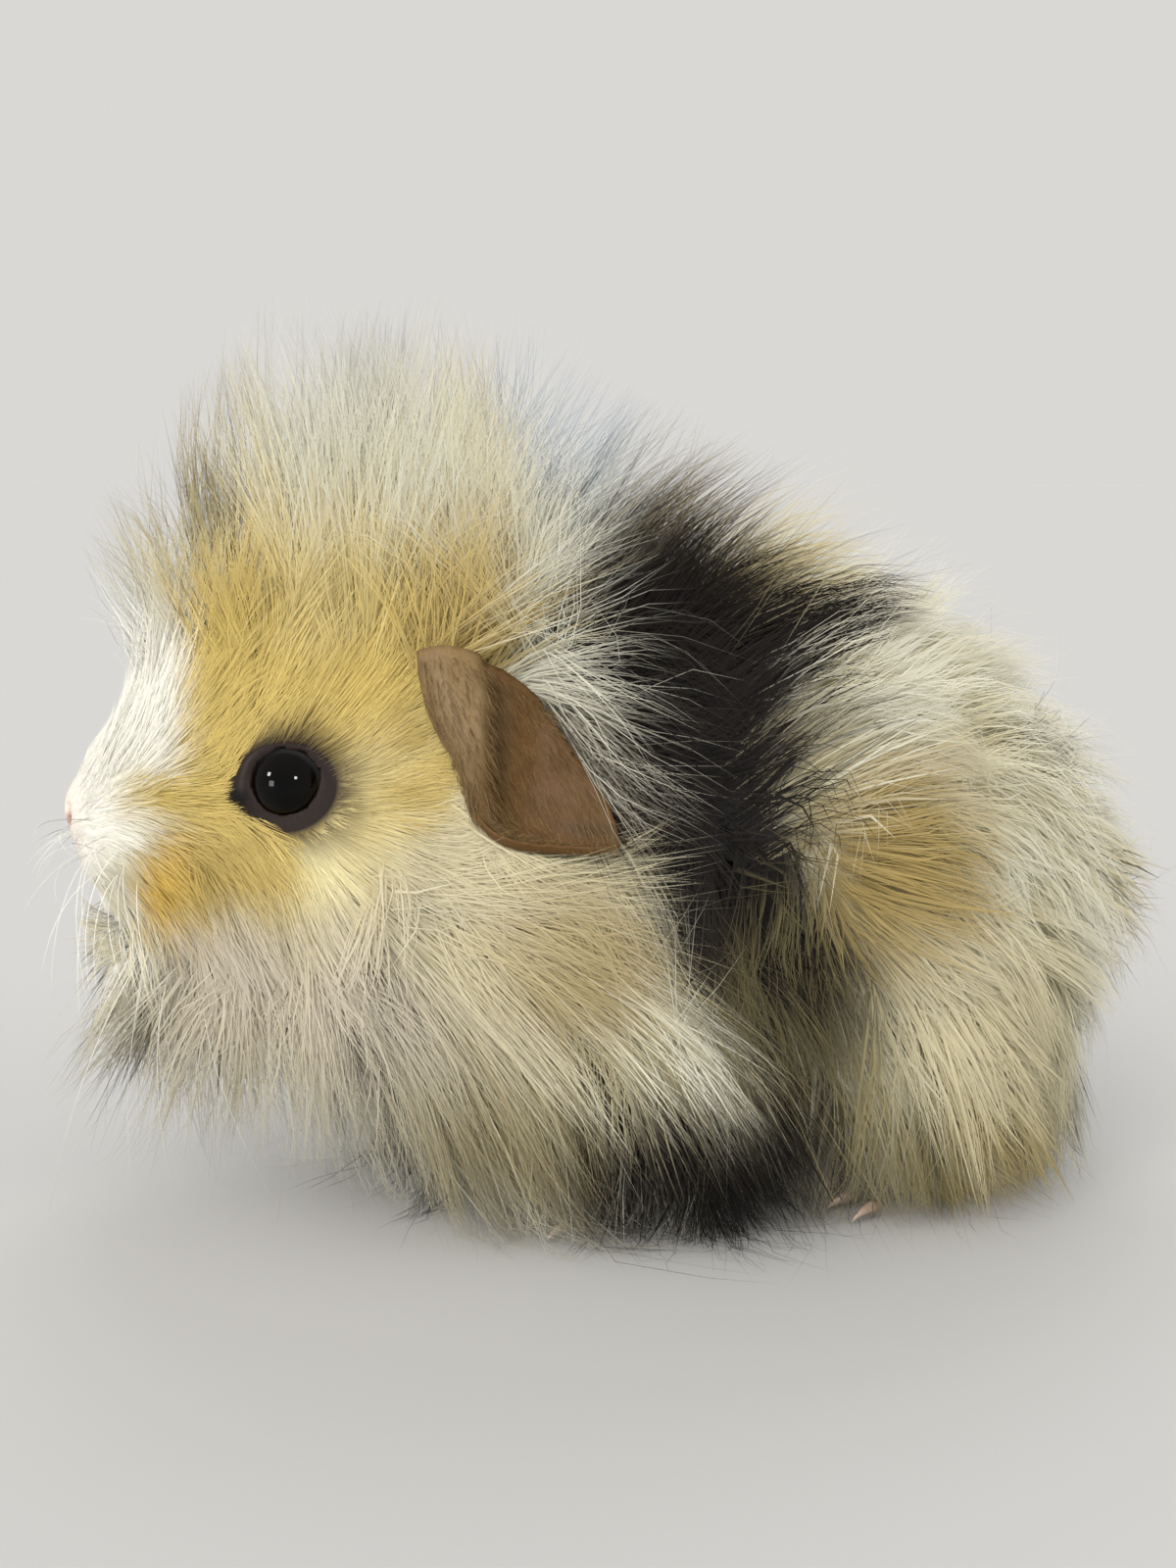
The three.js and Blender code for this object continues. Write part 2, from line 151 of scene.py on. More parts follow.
# A toe's line: how much of its length, how far from there, height, and the share of its radius.
toeLine = ((0, -2, 2.2, 1), (0.5, 0, 1.9, 0.92), (1, -0.9, 1.1, 0.9))
eyes = {"radius": 5.05, "spread": float(np.linalg.norm(leftEye - rightEye) / 2)}
lids = {"long": 4.62, "high": 4.24, "out": 2.4, "thick": 0.76, "tilt": 0.06,
        "corner": (5.1, 13.9, -1.1), "cornerSize": (1.3, 1.2, 0.9), "press": 0.12, "pressBlend": 0.12}
face = {
    "fineBlend": 0.7,
    "nostrilBlend": 0.2,
    "creaseBlend": 0.25,
    "pad": ((23.5, 0, -4.6), (4.1, 4.2, 3.9)),
    "nostril": ((25.8, 2.5, -5.4), (2.2, 0.75, 0.8), 38),
    "philtrum": ((26.4, 0, -8.8), (1.6, 0.4, 3.2)),
    "mouth": ((20.3, 0, -12.9), (4.4, 5.2, 0.55)),
    "upperLip": ((20.0, 2.6, -10.3), (3.8, 2.9, 2.5)),
}


def footSpace(pair, sign):
    turn = math.radians(feet[pair]["turn"])
    ahead, aside = feet[pair]["heel"]
    forward = turned(body, (math.cos(turn), sign * math.sin(turn), 0))
    outward = turned(body, (-math.sin(turn), sign * math.cos(turn), 0))
    axes = np.array((forward, outward, (0, 0, 1.0)))
    return {"origin": toWorld(body, (ahead, sign * aside, 0)), "axes": axes}


def toePlace(foot, toe, ahead, height):
    fromMiddle = toe - (foot["toes"] - 1) / 2
    turn = math.radians(fromMiddle * foot["toeTurn"])
    return (foot["toeRoot"] + ahead * math.cos(turn),
            fromMiddle * foot["toeSpacing"] + ahead * math.sin(turn), height)


# Distances are less than 0 inside a shape.
def ellipsoidDistance(points, middle, axes, size):
    local = (points - middle) @ axes.T
    scaled = np.linalg.norm(local / size, axis=-1)
    slope = np.linalg.norm(local / np.square(size), axis=-1)
    return scaled * (scaled - 1) / np.maximum(slope, 1e-4)


def limbDistance(points, start, startRadius, end, endRadius):
    line = end - start
    along = np.clip((points - start) @ line / (line @ line), 0, 1)
    nearest = start + along[:, None] * line
    return np.linalg.norm(points - nearest, axis=-1) - (startRadius + along * (endRadius - startRadius))


# A space's axes turned about its left axis.
def rolled(space, degrees):
    turn = math.radians(degrees)
    forward, left, up = space["axes"]
    return np.array((forward * math.cos(turn) + up * math.sin(turn), left,
                     up * math.cos(turn) - forward * math.sin(turn)))


fleshMasses = [
    (placeOn(space, at, side), space["axes"], np.array(size, float))
    for space, at, size in flesh["masses"] for side in bothSides(at)
]
legParts = []
toeParts = []
for pair, foot in feet.items():
    for side in (1, -1):
        space = footSpace(pair, side)
        middle, size = foot["palm"]
        toeParts.append(("pad", toWorld(space, middle), space["axes"], np.array(size, float)))
        stations = [(toWorld(space, at), radius) for at, radius in foot["leg"]]
        legParts += [(a, ra, b, rb) for (a, ra), (b, rb) in zip(stations, stations[1:])]
        for toe in range(foot["toes"]):
            knots = []
            for share, further, height, thick in toeLine:
                at = toePlace(foot, toe, foot["toeLength"] * share + further, height)
                knots.append((toWorld(space, at), foot["toeRadius"] * thick))
            toeParts += [("toe", a, ra, b, rb) for (a, ra), (b, rb) in zip(knots, knots[1:])]


# One shape from many, run together over about the width of the blend.
def softJoin(distances, blend):
    return -blend * np.log(np.sum(np.exp(-np.stack(distances) / blend), axis=0) + 1e-300)


def roughFlesh(points):
    limbs = [limbDistance(points, *leg) for leg in legParts]
    masses = [ellipsoidDistance(points, *mass) for mass in fleshMasses]
    return softJoin(masses + limbs, flesh["blend"])


def lidDistance(points, side):
    local = toSpace(head, points) * np.array((1, side, 1)) - np.array((0, eyes["spread"], 0))
    droop = local[:, 2] - lids["tilt"] * local[:, 0]
    around = np.hypot(local[:, 0] / lids["long"], droop / lids["high"])
    across = (around - 1) * (lids["long"] + lids["high"]) / 2
    return np.hypot(across, local[:, 1] - lids["out"]) - lids["thick"]


# A shape with a hollow taken out of it, its edge softened by the blend.
def carved(distance, hollow, blend):
    return blend * np.log(np.exp(distance / blend) + np.exp(-hollow / blend))


def fleshDistance(points):
    fine = [roughFlesh(points)]
    for kind, *shape in toeParts:
        measure = ellipsoidDistance if kind == "pad" else limbDistance
        fine.append(measure(points, *shape))
    padPlace, padSize = face["pad"]
    fine.append(ellipsoidDistance(points, toWorld(head, padPlace), head["axes"], np.array(padSize)))
    lipPlace, lipSize = face["upperLip"]
    for side in (1, -1):
        lip = placeOn(head, lipPlace, side)
        fine.append(ellipsoidDistance(points, lip, head["axes"], np.array(lipSize)))
        fine.append(lidDistance(points, side))
        corner = placeOn(head, lids["corner"], side)
        fine.append(ellipsoidDistance(points, corner, head["axes"], np.array(lids["cornerSize"])))
    distance = softJoin(fine, face["fineBlend"])
    for side in (1, -1):
        middle = toWorld(head, (0, side * eyes["spread"], 0))
        ball = np.linalg.norm(points - middle, axis=-1) - eyes["radius"] + lids["press"]
        distance = carved(distance, ball, lids["pressBlend"])
        place, size, roll = face["nostril"]
        slit = placeOn(head, place, side)
        hollow = ellipsoidDistance(points, slit, rolled(head, roll), np.array(size))
        distance = carved(distance, hollow, face["nostrilBlend"])
    for name in ("philtrum", "mouth"):
        place, size = face[name]
        hollow = ellipsoidDistance(points, toWorld(head, place), head["axes"], np.array(size))
        distance = carved(distance, hollow, face["creaseBlend"])
    return np.maximum(distance, -points[:, 2])


def inBlocks(distance, points, block=60000):
    return np.concatenate([distance(points[i:i + block]) for i in range(0, len(points), block)])


# A box of evenly spaced values that can be read anywhere between them.
class ValueBox:
    def __init__(self, low, step, values):
        self.low, self.step, self.values = np.asarray(low, float), step, values

    def at(self, points):
        where = (points - self.low) / self.step
        cell = np.clip(np.floor(where).astype(int), 0, np.array(self.values.shape) - 2)
        part = np.clip(where - cell, 0, 1)
        i, j, k = cell.T
        x, y, z = part.T
        v = self.values
        near = (v[i, j, k] * (1 - x) + v[i + 1, j, k] * x) * (1 - y)
        near += (v[i, j + 1, k] * (1 - x) + v[i + 1, j + 1, k] * x) * y
        far = (v[i, j, k + 1] * (1 - x) + v[i + 1, j, k + 1] * x) * (1 - y)
        far += (v[i, j + 1, k + 1] * (1 - x) + v[i + 1, j + 1, k + 1] * x) * y
        return near * (1 - z) + far * z

    def slope(self, points):
        reach = self.step * 0.5
        shifts = [np.eye(3)[a] * reach for a in range(3)]
        return unit(np.stack([self.at(points + s) - self.at(points - s) for s in shifts], -1))


# Evenly spaced places that fill a box.
def evenPoints(low, high, step):
    counts = np.ceil((high - low) / step).astype(int) + 1
    axes = [low[a] + step * np.arange(counts[a]) for a in range(3)]
    return np.stack(np.meshgrid(*axes, indexing="ij"), -1)


boxMargin = 6
boxLow = np.array(cadBox[0]) / mm - boxMargin
boxHigh = np.array(cadBox[1]) / mm + boxMargin
coarseStep = 2.0
coarsePoints = evenPoints(boxLow, boxHigh, coarseStep)
coarseValues = inBlocks(roughFlesh, coarsePoints.reshape(-1, 3)).reshape(coarsePoints.shape[:3])
fleshBox = ValueBox(boxLow, coarseStep, coarseValues)
print("flesh measured on", coarseValues.shape)


# The coat's outer surface: the outside faces of the solids, without the cuts between them and
# the hollows for the legs.
coatNodes = ["head", "neck", "shoulders", "barrel", "hindquarters"]
openRay = {"start": 0.02, "length": 2.0}  # a face is outside if a ray this long meets nothing


def outsideTree(names):
    corners, faces, ofCoat = [], [], []
    for name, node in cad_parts.items():
        start = len(corners)
        corners += [v.co / mm for v in node.data.vertices]
        faces += [tuple(start + v for v in p.vertices) for p in node.data.polygons]
        ofCoat += [name in names] * len(node.data.polygons)
    whole = BVHTree.FromPolygons(corners, faces)
    kept = []
    for corner, coat in zip(faces, ofCoat):
        a, b, c = (corners[v] for v in corner[:3])
        normal = (b - a).cross(c - a).normalized()
        middle = (a + b + c) / 3
        hit = whole.ray_cast(middle + normal * openRay["start"], normal, openRay["length"])
        if coat and hit[0] is None:
            kept.append(corner)
    return BVHTree.FromPolygons(corners, kept)


outside = outsideTree(coatNodes)
coatStep = 2.5
coatPoints = evenPoints(boxLow, boxHigh, coatStep)


def signedReach(point):
    nearest, normal, _, reach = outside.find_nearest(Vector(point))
    return reach if (Vector(point) - nearest).dot(normal) > 0 else -reach


coatValues = np.array([signedReach(p) for p in coatPoints.reshape(-1, 3)]).reshape(coatPoints.shape[:3])
coatBox = ValueBox(boxLow, coatStep, coatValues)
print("coat measured on", coatValues.shape)


def meshFrom(name, points, faces, smooth=True):
    mesh = bpy.data.meshes.new(name)
    mesh.from_pydata((np.asarray(points) * mm).tolist(), [], [list(map(int, f)) for f in faces])
    mesh.validate()
    if smooth:
        mesh.shade_smooth()
    piece = bpy.data.objects.new(name, mesh)
    bpy.context.scene.collection.objects.link(piece)
    return piece


# Three numbers kept on each point of a mesh, for its material to read.
def keepVectors(mesh, name, vectors):
    layer = mesh.attributes.new(name, "FLOAT_VECTOR", "POINT")
    layer.data.foreach_set("vector", np.asarray(vectors, np.float32).ravel())


skinStep = 0.8
fineBand = 3.2  # the full shape is worked out only this close to the surface
fieldOutside = 20.0
zoneShrink = 0.25  # how much smaller a zone is in each further round
fineZones = [  # space, middle, radius, rounds of finer faces
    (head, (0, 12.6, 0), 8.5, 2),
    (head, (0, 15.0, 0), 6.4, 1),
    (head, (21, 0, -8), 9.5, 2),
    (body, (17.5, 18, 2), 12, 1),
    (body, (-25.5, 21, 2), 17, 1),
]


def fleshSurface():
    fine = evenPoints(boxLow, boxHigh, skinStep)
    flat = fine.reshape(-1, 3)
    values = fleshBox.at(flat)
    band = np.abs(values) < fineBand
    values[band] = inBlocks(fleshDistance, flat[band])
    field = openvdb.FloatGrid(fieldOutside)
    field.copyFromArray(values.reshape(fine.shape[:3]).astype(np.float32))
    points, quads = field.convertToQuads(isovalue=0.0)
    return boxLow + np.asarray(points, float) * skinStep, np.asarray(quads)


settling = {"rounds": 3, "reach": 0.12, "leastSlope": 0.3, "most": 0.5}


# Points moved along the slope of the flesh until they lie on its surface.
def settled(points):
    reach = settling["reach"]
    for _ in range(settling["rounds"]):
        here = inBlocks(fleshDistance, points)
        slopes = []
        for axis in range(3):
            shift = np.eye(3)[axis] * reach
            ahead = inBlocks(fleshDistance, points + shift)
            behind = inBlocks(fleshDistance, points - shift)
            slopes.append((ahead - behind) / (2 * reach))
        slope = np.stack(slopes, -1)
        size = np.maximum(np.sum(slope ** 2, axis=-1), settling["leastSlope"])
        stride = np.clip(here / size, -settling["most"], settling["most"])
        points = points - stride[:, None] * slope
    return points


# More faces where the skin has fine forms.
def finerFaces(shape):
    for space, place, radius, rounds in fineZones:
        for side in bothSides(place):
            middle = Vector(placeOn(space, place, side))
            for level in range(rounds):
                reach = radius * (1 - zoneShrink * level)
                near = [f for f in shape.faces if (f.calc_center_median() - middle).length < reach]
                edges = list({e for f in near for e in f.edges})
                bmesh.ops.subdivide_edges(shape, edges=edges, cuts=1, use_grid_fill=True)


def skinShape():
    points, quads = fleshSurface()
    shape = bmesh.new()
    corners = [shape.verts.new(p) for p in points]
    for quad in quads:
        shape.faces.new([corners[i] for i in quad])
    finerFaces(shape)
    shape.verts.ensure_lookup_table()
    bmesh.ops.recalc_face_normals(shape, faces=shape.faces)
    shape.verts.index_update()
    points = settled(np.array([v.co for v in shape.verts]))
    faces = [[v.index for v in f.verts] for f in shape.faces]
    shape.free()
    return points, faces


# Each ear is a thin sheet that hangs from its top edge. Its rows run from the root down to the
# rim and its columns from the front flap back; places are on the head.
ear = {
    "rows": [
        [(-14.4, 16.4, 14.8), (-17.4, 18.2, 15.4), (-20.6, 18.2, 14.6), (-21.4, 16.0, 13.4),
         (-23.6, 15.6, 12.6), (-26.0, 16.2, 10.8), (-27.8, 17.2, 8.8)],
        [(-14.8, 18.2, 11.6), (-18.0, 20.6, 11.8), (-21.4, 21.2, 10.8), (-22.2, 17.6, 9.8),
         (-24.8, 17.0, 9.0), (-27.8, 18.4, 7.6), (-30.0, 20.2, 6.2)],
        [(-16.0, 19.8, 7.6), (-18.8, 22.2, 7.4), (-21.6, 22.8, 6.4), (-22.4, 18.8, 5.4),
         (-25.6, 18.6, 4.8), (-29.4, 21.0, 4.0), (-32.2, 23.4, 3.4)],
        [(-18.4, 21.2, 3.4), (-20.2, 23.2, 2.8), (-21.8, 23.8, 1.8), (-23.0, 20.6, 1.0),
         (-26.6, 21.0, 0.6), (-31.2, 24.2, 0.2), (-34.4, 26.6, 0.4)],
        [(-20.0, 22.4, 0.0), (-20.9, 23.8, -1.2), (-22.2, 24.4, -2.4), (-24.2, 22.8, -3.2),
         (-27.8, 23.8, -3.4), (-32.4, 26.8, -3.0), (-35.6, 29.0, -2.4)],
        [(-20.4, 23.0, -1.2), (-21.4, 24.6, -2.9), (-23.0, 25.8, -4.4), (-25.6, 26.0, -5.4),
         (-29.0, 26.8, -5.6), (-33.2, 28.8, -5.2), (-36.0, 30.2, -4.4)],
        [(-20.6, 23.8, -1.4), (-21.8, 26.0, -2.9), (-23.6, 27.4, -4.0), (-26.2, 28.0, -4.6),
         (-29.4, 28.6, -4.8), (-33.2, 30.0, -4.8), (-35.8, 30.8, -4.4)],
    ],
    "thick": 0.8,
    "finer": 6,
    "lap": 4,  # rows and columns at the edges that hair may lie against
    "rootThick": 1.25,
    "rimThin": 0.45,
    "edgeThin": 0.05,
    "flapFlat": 4,  # how quickly the ripples start behind the front flap
    "ripples": {"veins": 0.16, "creases": 0.22, "fine": 0.10},
}


# A smooth line through all the rows, with finer steps between them.
def splined(rows, finer):
    ends = np.concatenate([[2 * rows[0] - rows[1]], rows, [2 * rows[-1] - rows[-2]]])
    out = []
    for i in range(1, len(ends) - 2):
        before, start, end, after = ends[i - 1:i + 3]
        square = 2 * before - 5 * start + 4 * end - after
        cube = 3 * start - before - 3 * end + after
        for t in np.arange(finer) / finer:
            out.append(0.5 * (2 * start + (end - before) * t + square * t ** 2 + cube * t ** 3))
    return np.array(out + [rows[-1]])


def earSheet():
    sheet = splined(np.array(ear["rows"], float), ear["finer"])
    return splined(sheet.transpose(1, 0, 2), ear["finer"]).transpose(1, 0, 2)


def earShape(side):
    sheet = earSheet()
    rows, columns = sheet.shape[:2]
    down = np.gradient(sheet, axis=0)
    back = np.gradient(sheet, axis=1)
    normal = unit(np.cross(back, down))
    v = np.linspace(0, 1, rows)[:, None]
    u = np.linspace(-1, 1, columns)[None, :]
    edge = np.sqrt(np.clip(1 - np.maximum(np.abs(u) ** 12, v ** 16), ear["edgeThin"], 1))
    thick = ear["thick"] * (ear["rootThick"] - ear["rimThin"] * v) * edge
    # veins down the ear, creases across its rim and a fine unevenness
    ripples = ear["ripples"]
    ripple = ripples["veins"] * np.sin(u * 14 + v * 5) * v * (1 - v)
    ripple = ripple + ripples["creases"] * np.sin(v * 34 + u * 3) * v ** 3 * (1 - v ** 4)
    ripple = ripple + ripples["fine"] * np.sin(u * 31 + 9 * v * v) * np.sin(v * 13 + 5 * u)
    ripple = ripple * np.clip((u + 0.05) * ear["flapFlat"], 0, 1)
    outer = sheet + normal * (thick / 2 + ripple)[..., None]
    inner = sheet - normal * (thick / 2 - ripple)[..., None]
    points = np.concatenate([outer.reshape(-1, 3), inner.reshape(-1, 3)]) * np.array((1, side, 1))
    at = np.arange(rows * columns).reshape(rows, columns)
    under = at + rows * columns
    quads = []
    for i in range(rows - 1):
        for j in range(columns - 1):
            quads.append([at[i, j], at[i, j + 1], at[i + 1, j + 1], at[i + 1, j]])
            quads.append([under[i, j], under[i + 1, j], under[i + 1, j + 1], under[i, j + 1]])
    rim = [at[0, j] for j in range(columns)] + [at[i, -1] for i in range(1, rows)]
    rim += [at[-1, j] for j in range(columns - 2, -1, -1)]
    rim += [at[i, 0] for i in range(rows - 2, 0, -1)]
    for a, b in zip(rim, rim[1:] + rim[:1]):
        quads.append([b, a, a + rows * columns, b + rows * columns])
    if side > 0:
        quads = [q[::-1] for q in quads]
    lap = ear["lap"]
    middleQuads = [[at[i, j], at[i, j + 1], at[i + 1, j + 1], at[i + 1, j]]
                   for i in range(lap + 2, rows - 3) for j in range(lap + 3, columns - lap)]
    return toWorld(head, points), quads, middleQuads


# The skin's own unwrap: round the trunk's line and along it, with caps at the nose and the rump.
spineFront = toWorld(head, (14, 0, -5))
spineBack = toWorld(body, (-32, 0, 36))
unwrap = {"cap": 14.0, "aroundShare": 0.47, "alongShare": 0.96}


def unwrapped(points):
    line = spineBack - spineFront
    length = np.linalg.norm(line)
    axis = line / length
    aside = unit(np.cross((0, 0, 1.0), axis))
    above = np.cross(axis, aside)
    offset = points - spineFront
    along = offset @ axis
    sideways, upward = offset @ aside, offset @ above
    around = np.arctan2(sideways, -upward)
    across = np.hypot(sideways, upward)
    beyond = along - np.clip(along, 0, length)
    cap = unwrap["cap"]
    run = np.clip(along, 0, length) + cap * np.arctan2(beyond, across)
    reach = length + cap * math.pi
    u = 0.5 + unwrap["aroundShare"] * around / math.pi
    v = (1 - unwrap["alongShare"]) / 2 + unwrap["alongShare"] * (run + cap * math.pi / 2) / reach
    return np.stack([u, v], -1)


def writeBakeMap(mesh, places):
    layer = mesh.uv_layers.new(name="OFBake")
    corners = np.zeros(len(mesh.loops), int)
    mesh.loops.foreach_get("vertex_index", corners)
    layer.data.foreach_set("uv", np.asarray(places[corners], np.float32).ravel())
    mesh.uv_layers.active = layer


skinPoints, skinFaces = skinShape()
skinEar = [np.zeros(len(skinPoints))]
allPoints, allFaces = [skinPoints], list(skinFaces)
earTrees, earMiddles = {}, {}
for side in (1, -1):
    points, quads, middleQuads = earShape(side)
    earTrees[side] = BVHTree.FromPolygons([Vector(p) for p in points], quads)
    earMiddles[side] = BVHTree.FromPolygons([Vector(p) for p in points], middleQuads)
    start = sum(len(p) for p in allPoints)
    allPoints.append(points)
    allFaces += [[i + start for i in q] for q in quads]
    skinEar.append(np.ones(len(points)))
allPoints = np.concatenate(allPoints)
skin = meshFrom("skin", allPoints, allFaces)
keepVectors(skin.data, "markPlace", allPoints)
onEar = np.concatenate(skinEar)
keepVectors(skin.data, "bare", np.stack([onEar, np.zeros(len(onEar)), allPoints[:, 2]], -1))
writeBakeMap(skin.data, unwrapped(allPoints))
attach(skin, "root")
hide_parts(*coatNodes, "nose", "ear_left", "ear_right")
for pair in feet:
    for side in ("left", "right"):
        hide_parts(f"{pair}leg_{side}", f"{pair}foot_{side}")
print("skin made with", len(skin.data.polygons), "faces")


# Each eye is a ball with a slightly fuller cornea. Every point keeps its angle from the line of
# sight.
eyeball = {
    "lookAhead": 6,
    "lookDown": 2,
    "cornea": 0.22,
    "corneaAngle": 44,
    "rings": 40,
    "sides": 64,
    "bakeScale": 0.15,
}


def eyeShape(side):
    rings, sides = eyeball["rings"], eyeball["sides"]
    tilt, down = math.radians(eyeball["lookAhead"]), math.radians(eyeball["lookDown"])
    sight = unit(turned(head, (math.sin(tilt), side * math.cos(tilt), -math.sin(down))))
    up = unit(np.cross(np.cross(sight, (0, 0, 1.0)), sight))
    aside = np.cross(up, sight)
    middle = toWorld(head, (0, side * eyes["spread"], 0))
    points, angles = [], []
    for i in range(1, rings):
        polar = math.pi * i / rings
        bulge = eyeball["cornea"] * max(0, 1 - (math.degrees(polar) / eyeball["corneaAngle"]) ** 2)
        for j in range(sides):
            turn = 2 * math.pi * j / sides
            around = aside * math.cos(turn) + up * math.sin(turn)
            out = sight * math.cos(polar) + math.sin(polar) * around
            points.append(middle + out * (eyes["radius"] + bulge))
            angles.append((polar, turn, 0))
    points += [middle + sight * (eyes["radius"] + eyeball["cornea"]), middle - sight * eyes["radius"]]
    angles += [(0, 0, 0), (math.pi, 0, 0)]
    front, back = len(points) - 2, len(points) - 1
    faces = []
    for j in range(sides):
        k = (j + 1) % sides
        faces.append([front, j, k])
        faces.append([back, (rings - 2) * sides + k, (rings - 2) * sides + j])
        for i in range(rings - 2):
            faces.append([i * sides + j, (i + 1) * sides + j, (i + 1) * sides + k, i * sides + k])
    return points, faces, angles


eyePieces = []
for side, name in ((1, "left"), (-1, "right")):
    points, faces, angles = eyeShape(side)
    piece = meshFrom("eyeball_" + name, points, faces)
    keepVectors(piece.data, "sightAngle", angles)
    polar, turn, _ = np.array(angles).T
    flat = np.stack([polar * np.cos(turn), polar * np.sin(turn)], -1)
    writeBakeMap(piece.data, 0.5 + eyeball["bakeScale"] * flat)
    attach(piece, "root")
    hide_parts("eye_" + name)
    eyePieces.append(piece)

claw = {
    "sides": 10,
    "narrow": 0.75,
    "line": [  # ahead of the toe's end, height, radius
        (-0.4, 1.5, 0.78),
        (1.0, 1.6, 0.7),
        (2.3, 1.3, 0.5),
        (3.4, 0.8, 0.22),
        (3.8, 0.55, 0.06),
    ],
}


def oneClaw(line, toe, start):
    points, faces, along = [], [], []
    forward = unit(line[-1] - line[0])
    aside = unit(np.cross(forward, (0, 0, 1.0)))
    above = np.cross(aside, forward)
    sides, last = claw["sides"], len(line) - 1
    for i, (_, _, radius) in enumerate(claw["line"]):
        for j in range(sides):
            turn = 2 * math.pi * j / sides
            out = claw["narrow"] * aside * math.cos(turn) + above * math.sin(turn)
            points.append(line[i] + radius * out)
            along.append((i / last, toe / 4, 0))
    for i in range(last):
        ring, nextRing = start + i * sides, start + (i + 1) * sides
        for j in range(sides):
            k = (j + 1) % sides
            faces.append([ring + j, ring + k, nextRing + k, nextRing + j])
    faces.append([start + j for j in range(sides)][::-1])
    faces.append([start + last * sides + j for j in range(sides)])
    return points, faces, along


def clawShapes():
    points, faces, along = [], [], []
    for pair, foot in feet.items():
        for side in (1, -1):
            space = footSpace(pair, side)
            for toe in range(foot["toes"]):
                places = [toePlace(foot, toe, foot["toeLength"] + ahead, height)
                          for ahead, height, _ in claw["line"]]
                shape = oneClaw(toWorld(space, places), toe, len(points))
                for whole, part in zip((points, faces, along), shape):
                    whole += part
    return points, faces, along


points, faces, along = clawShapes()
claws = meshFrom("claws", points, faces)
keepVectors(claws.data, "strand", along)
keepVectors(claws.data, "markPlace", points)
writeBakeMap(claws.data, unwrapped(np.array(points)))
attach(claws, "root")
for side in ("left", "right"):
    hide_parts(*[f"foreclaw_{side}_{i + 1}" for i in range(feet["fore"]["toes"])])
    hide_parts(*[f"hindclaw_{side}_{i + 1}" for i in range(feet["hind"]["toes"])])
print("eyes and claws made")

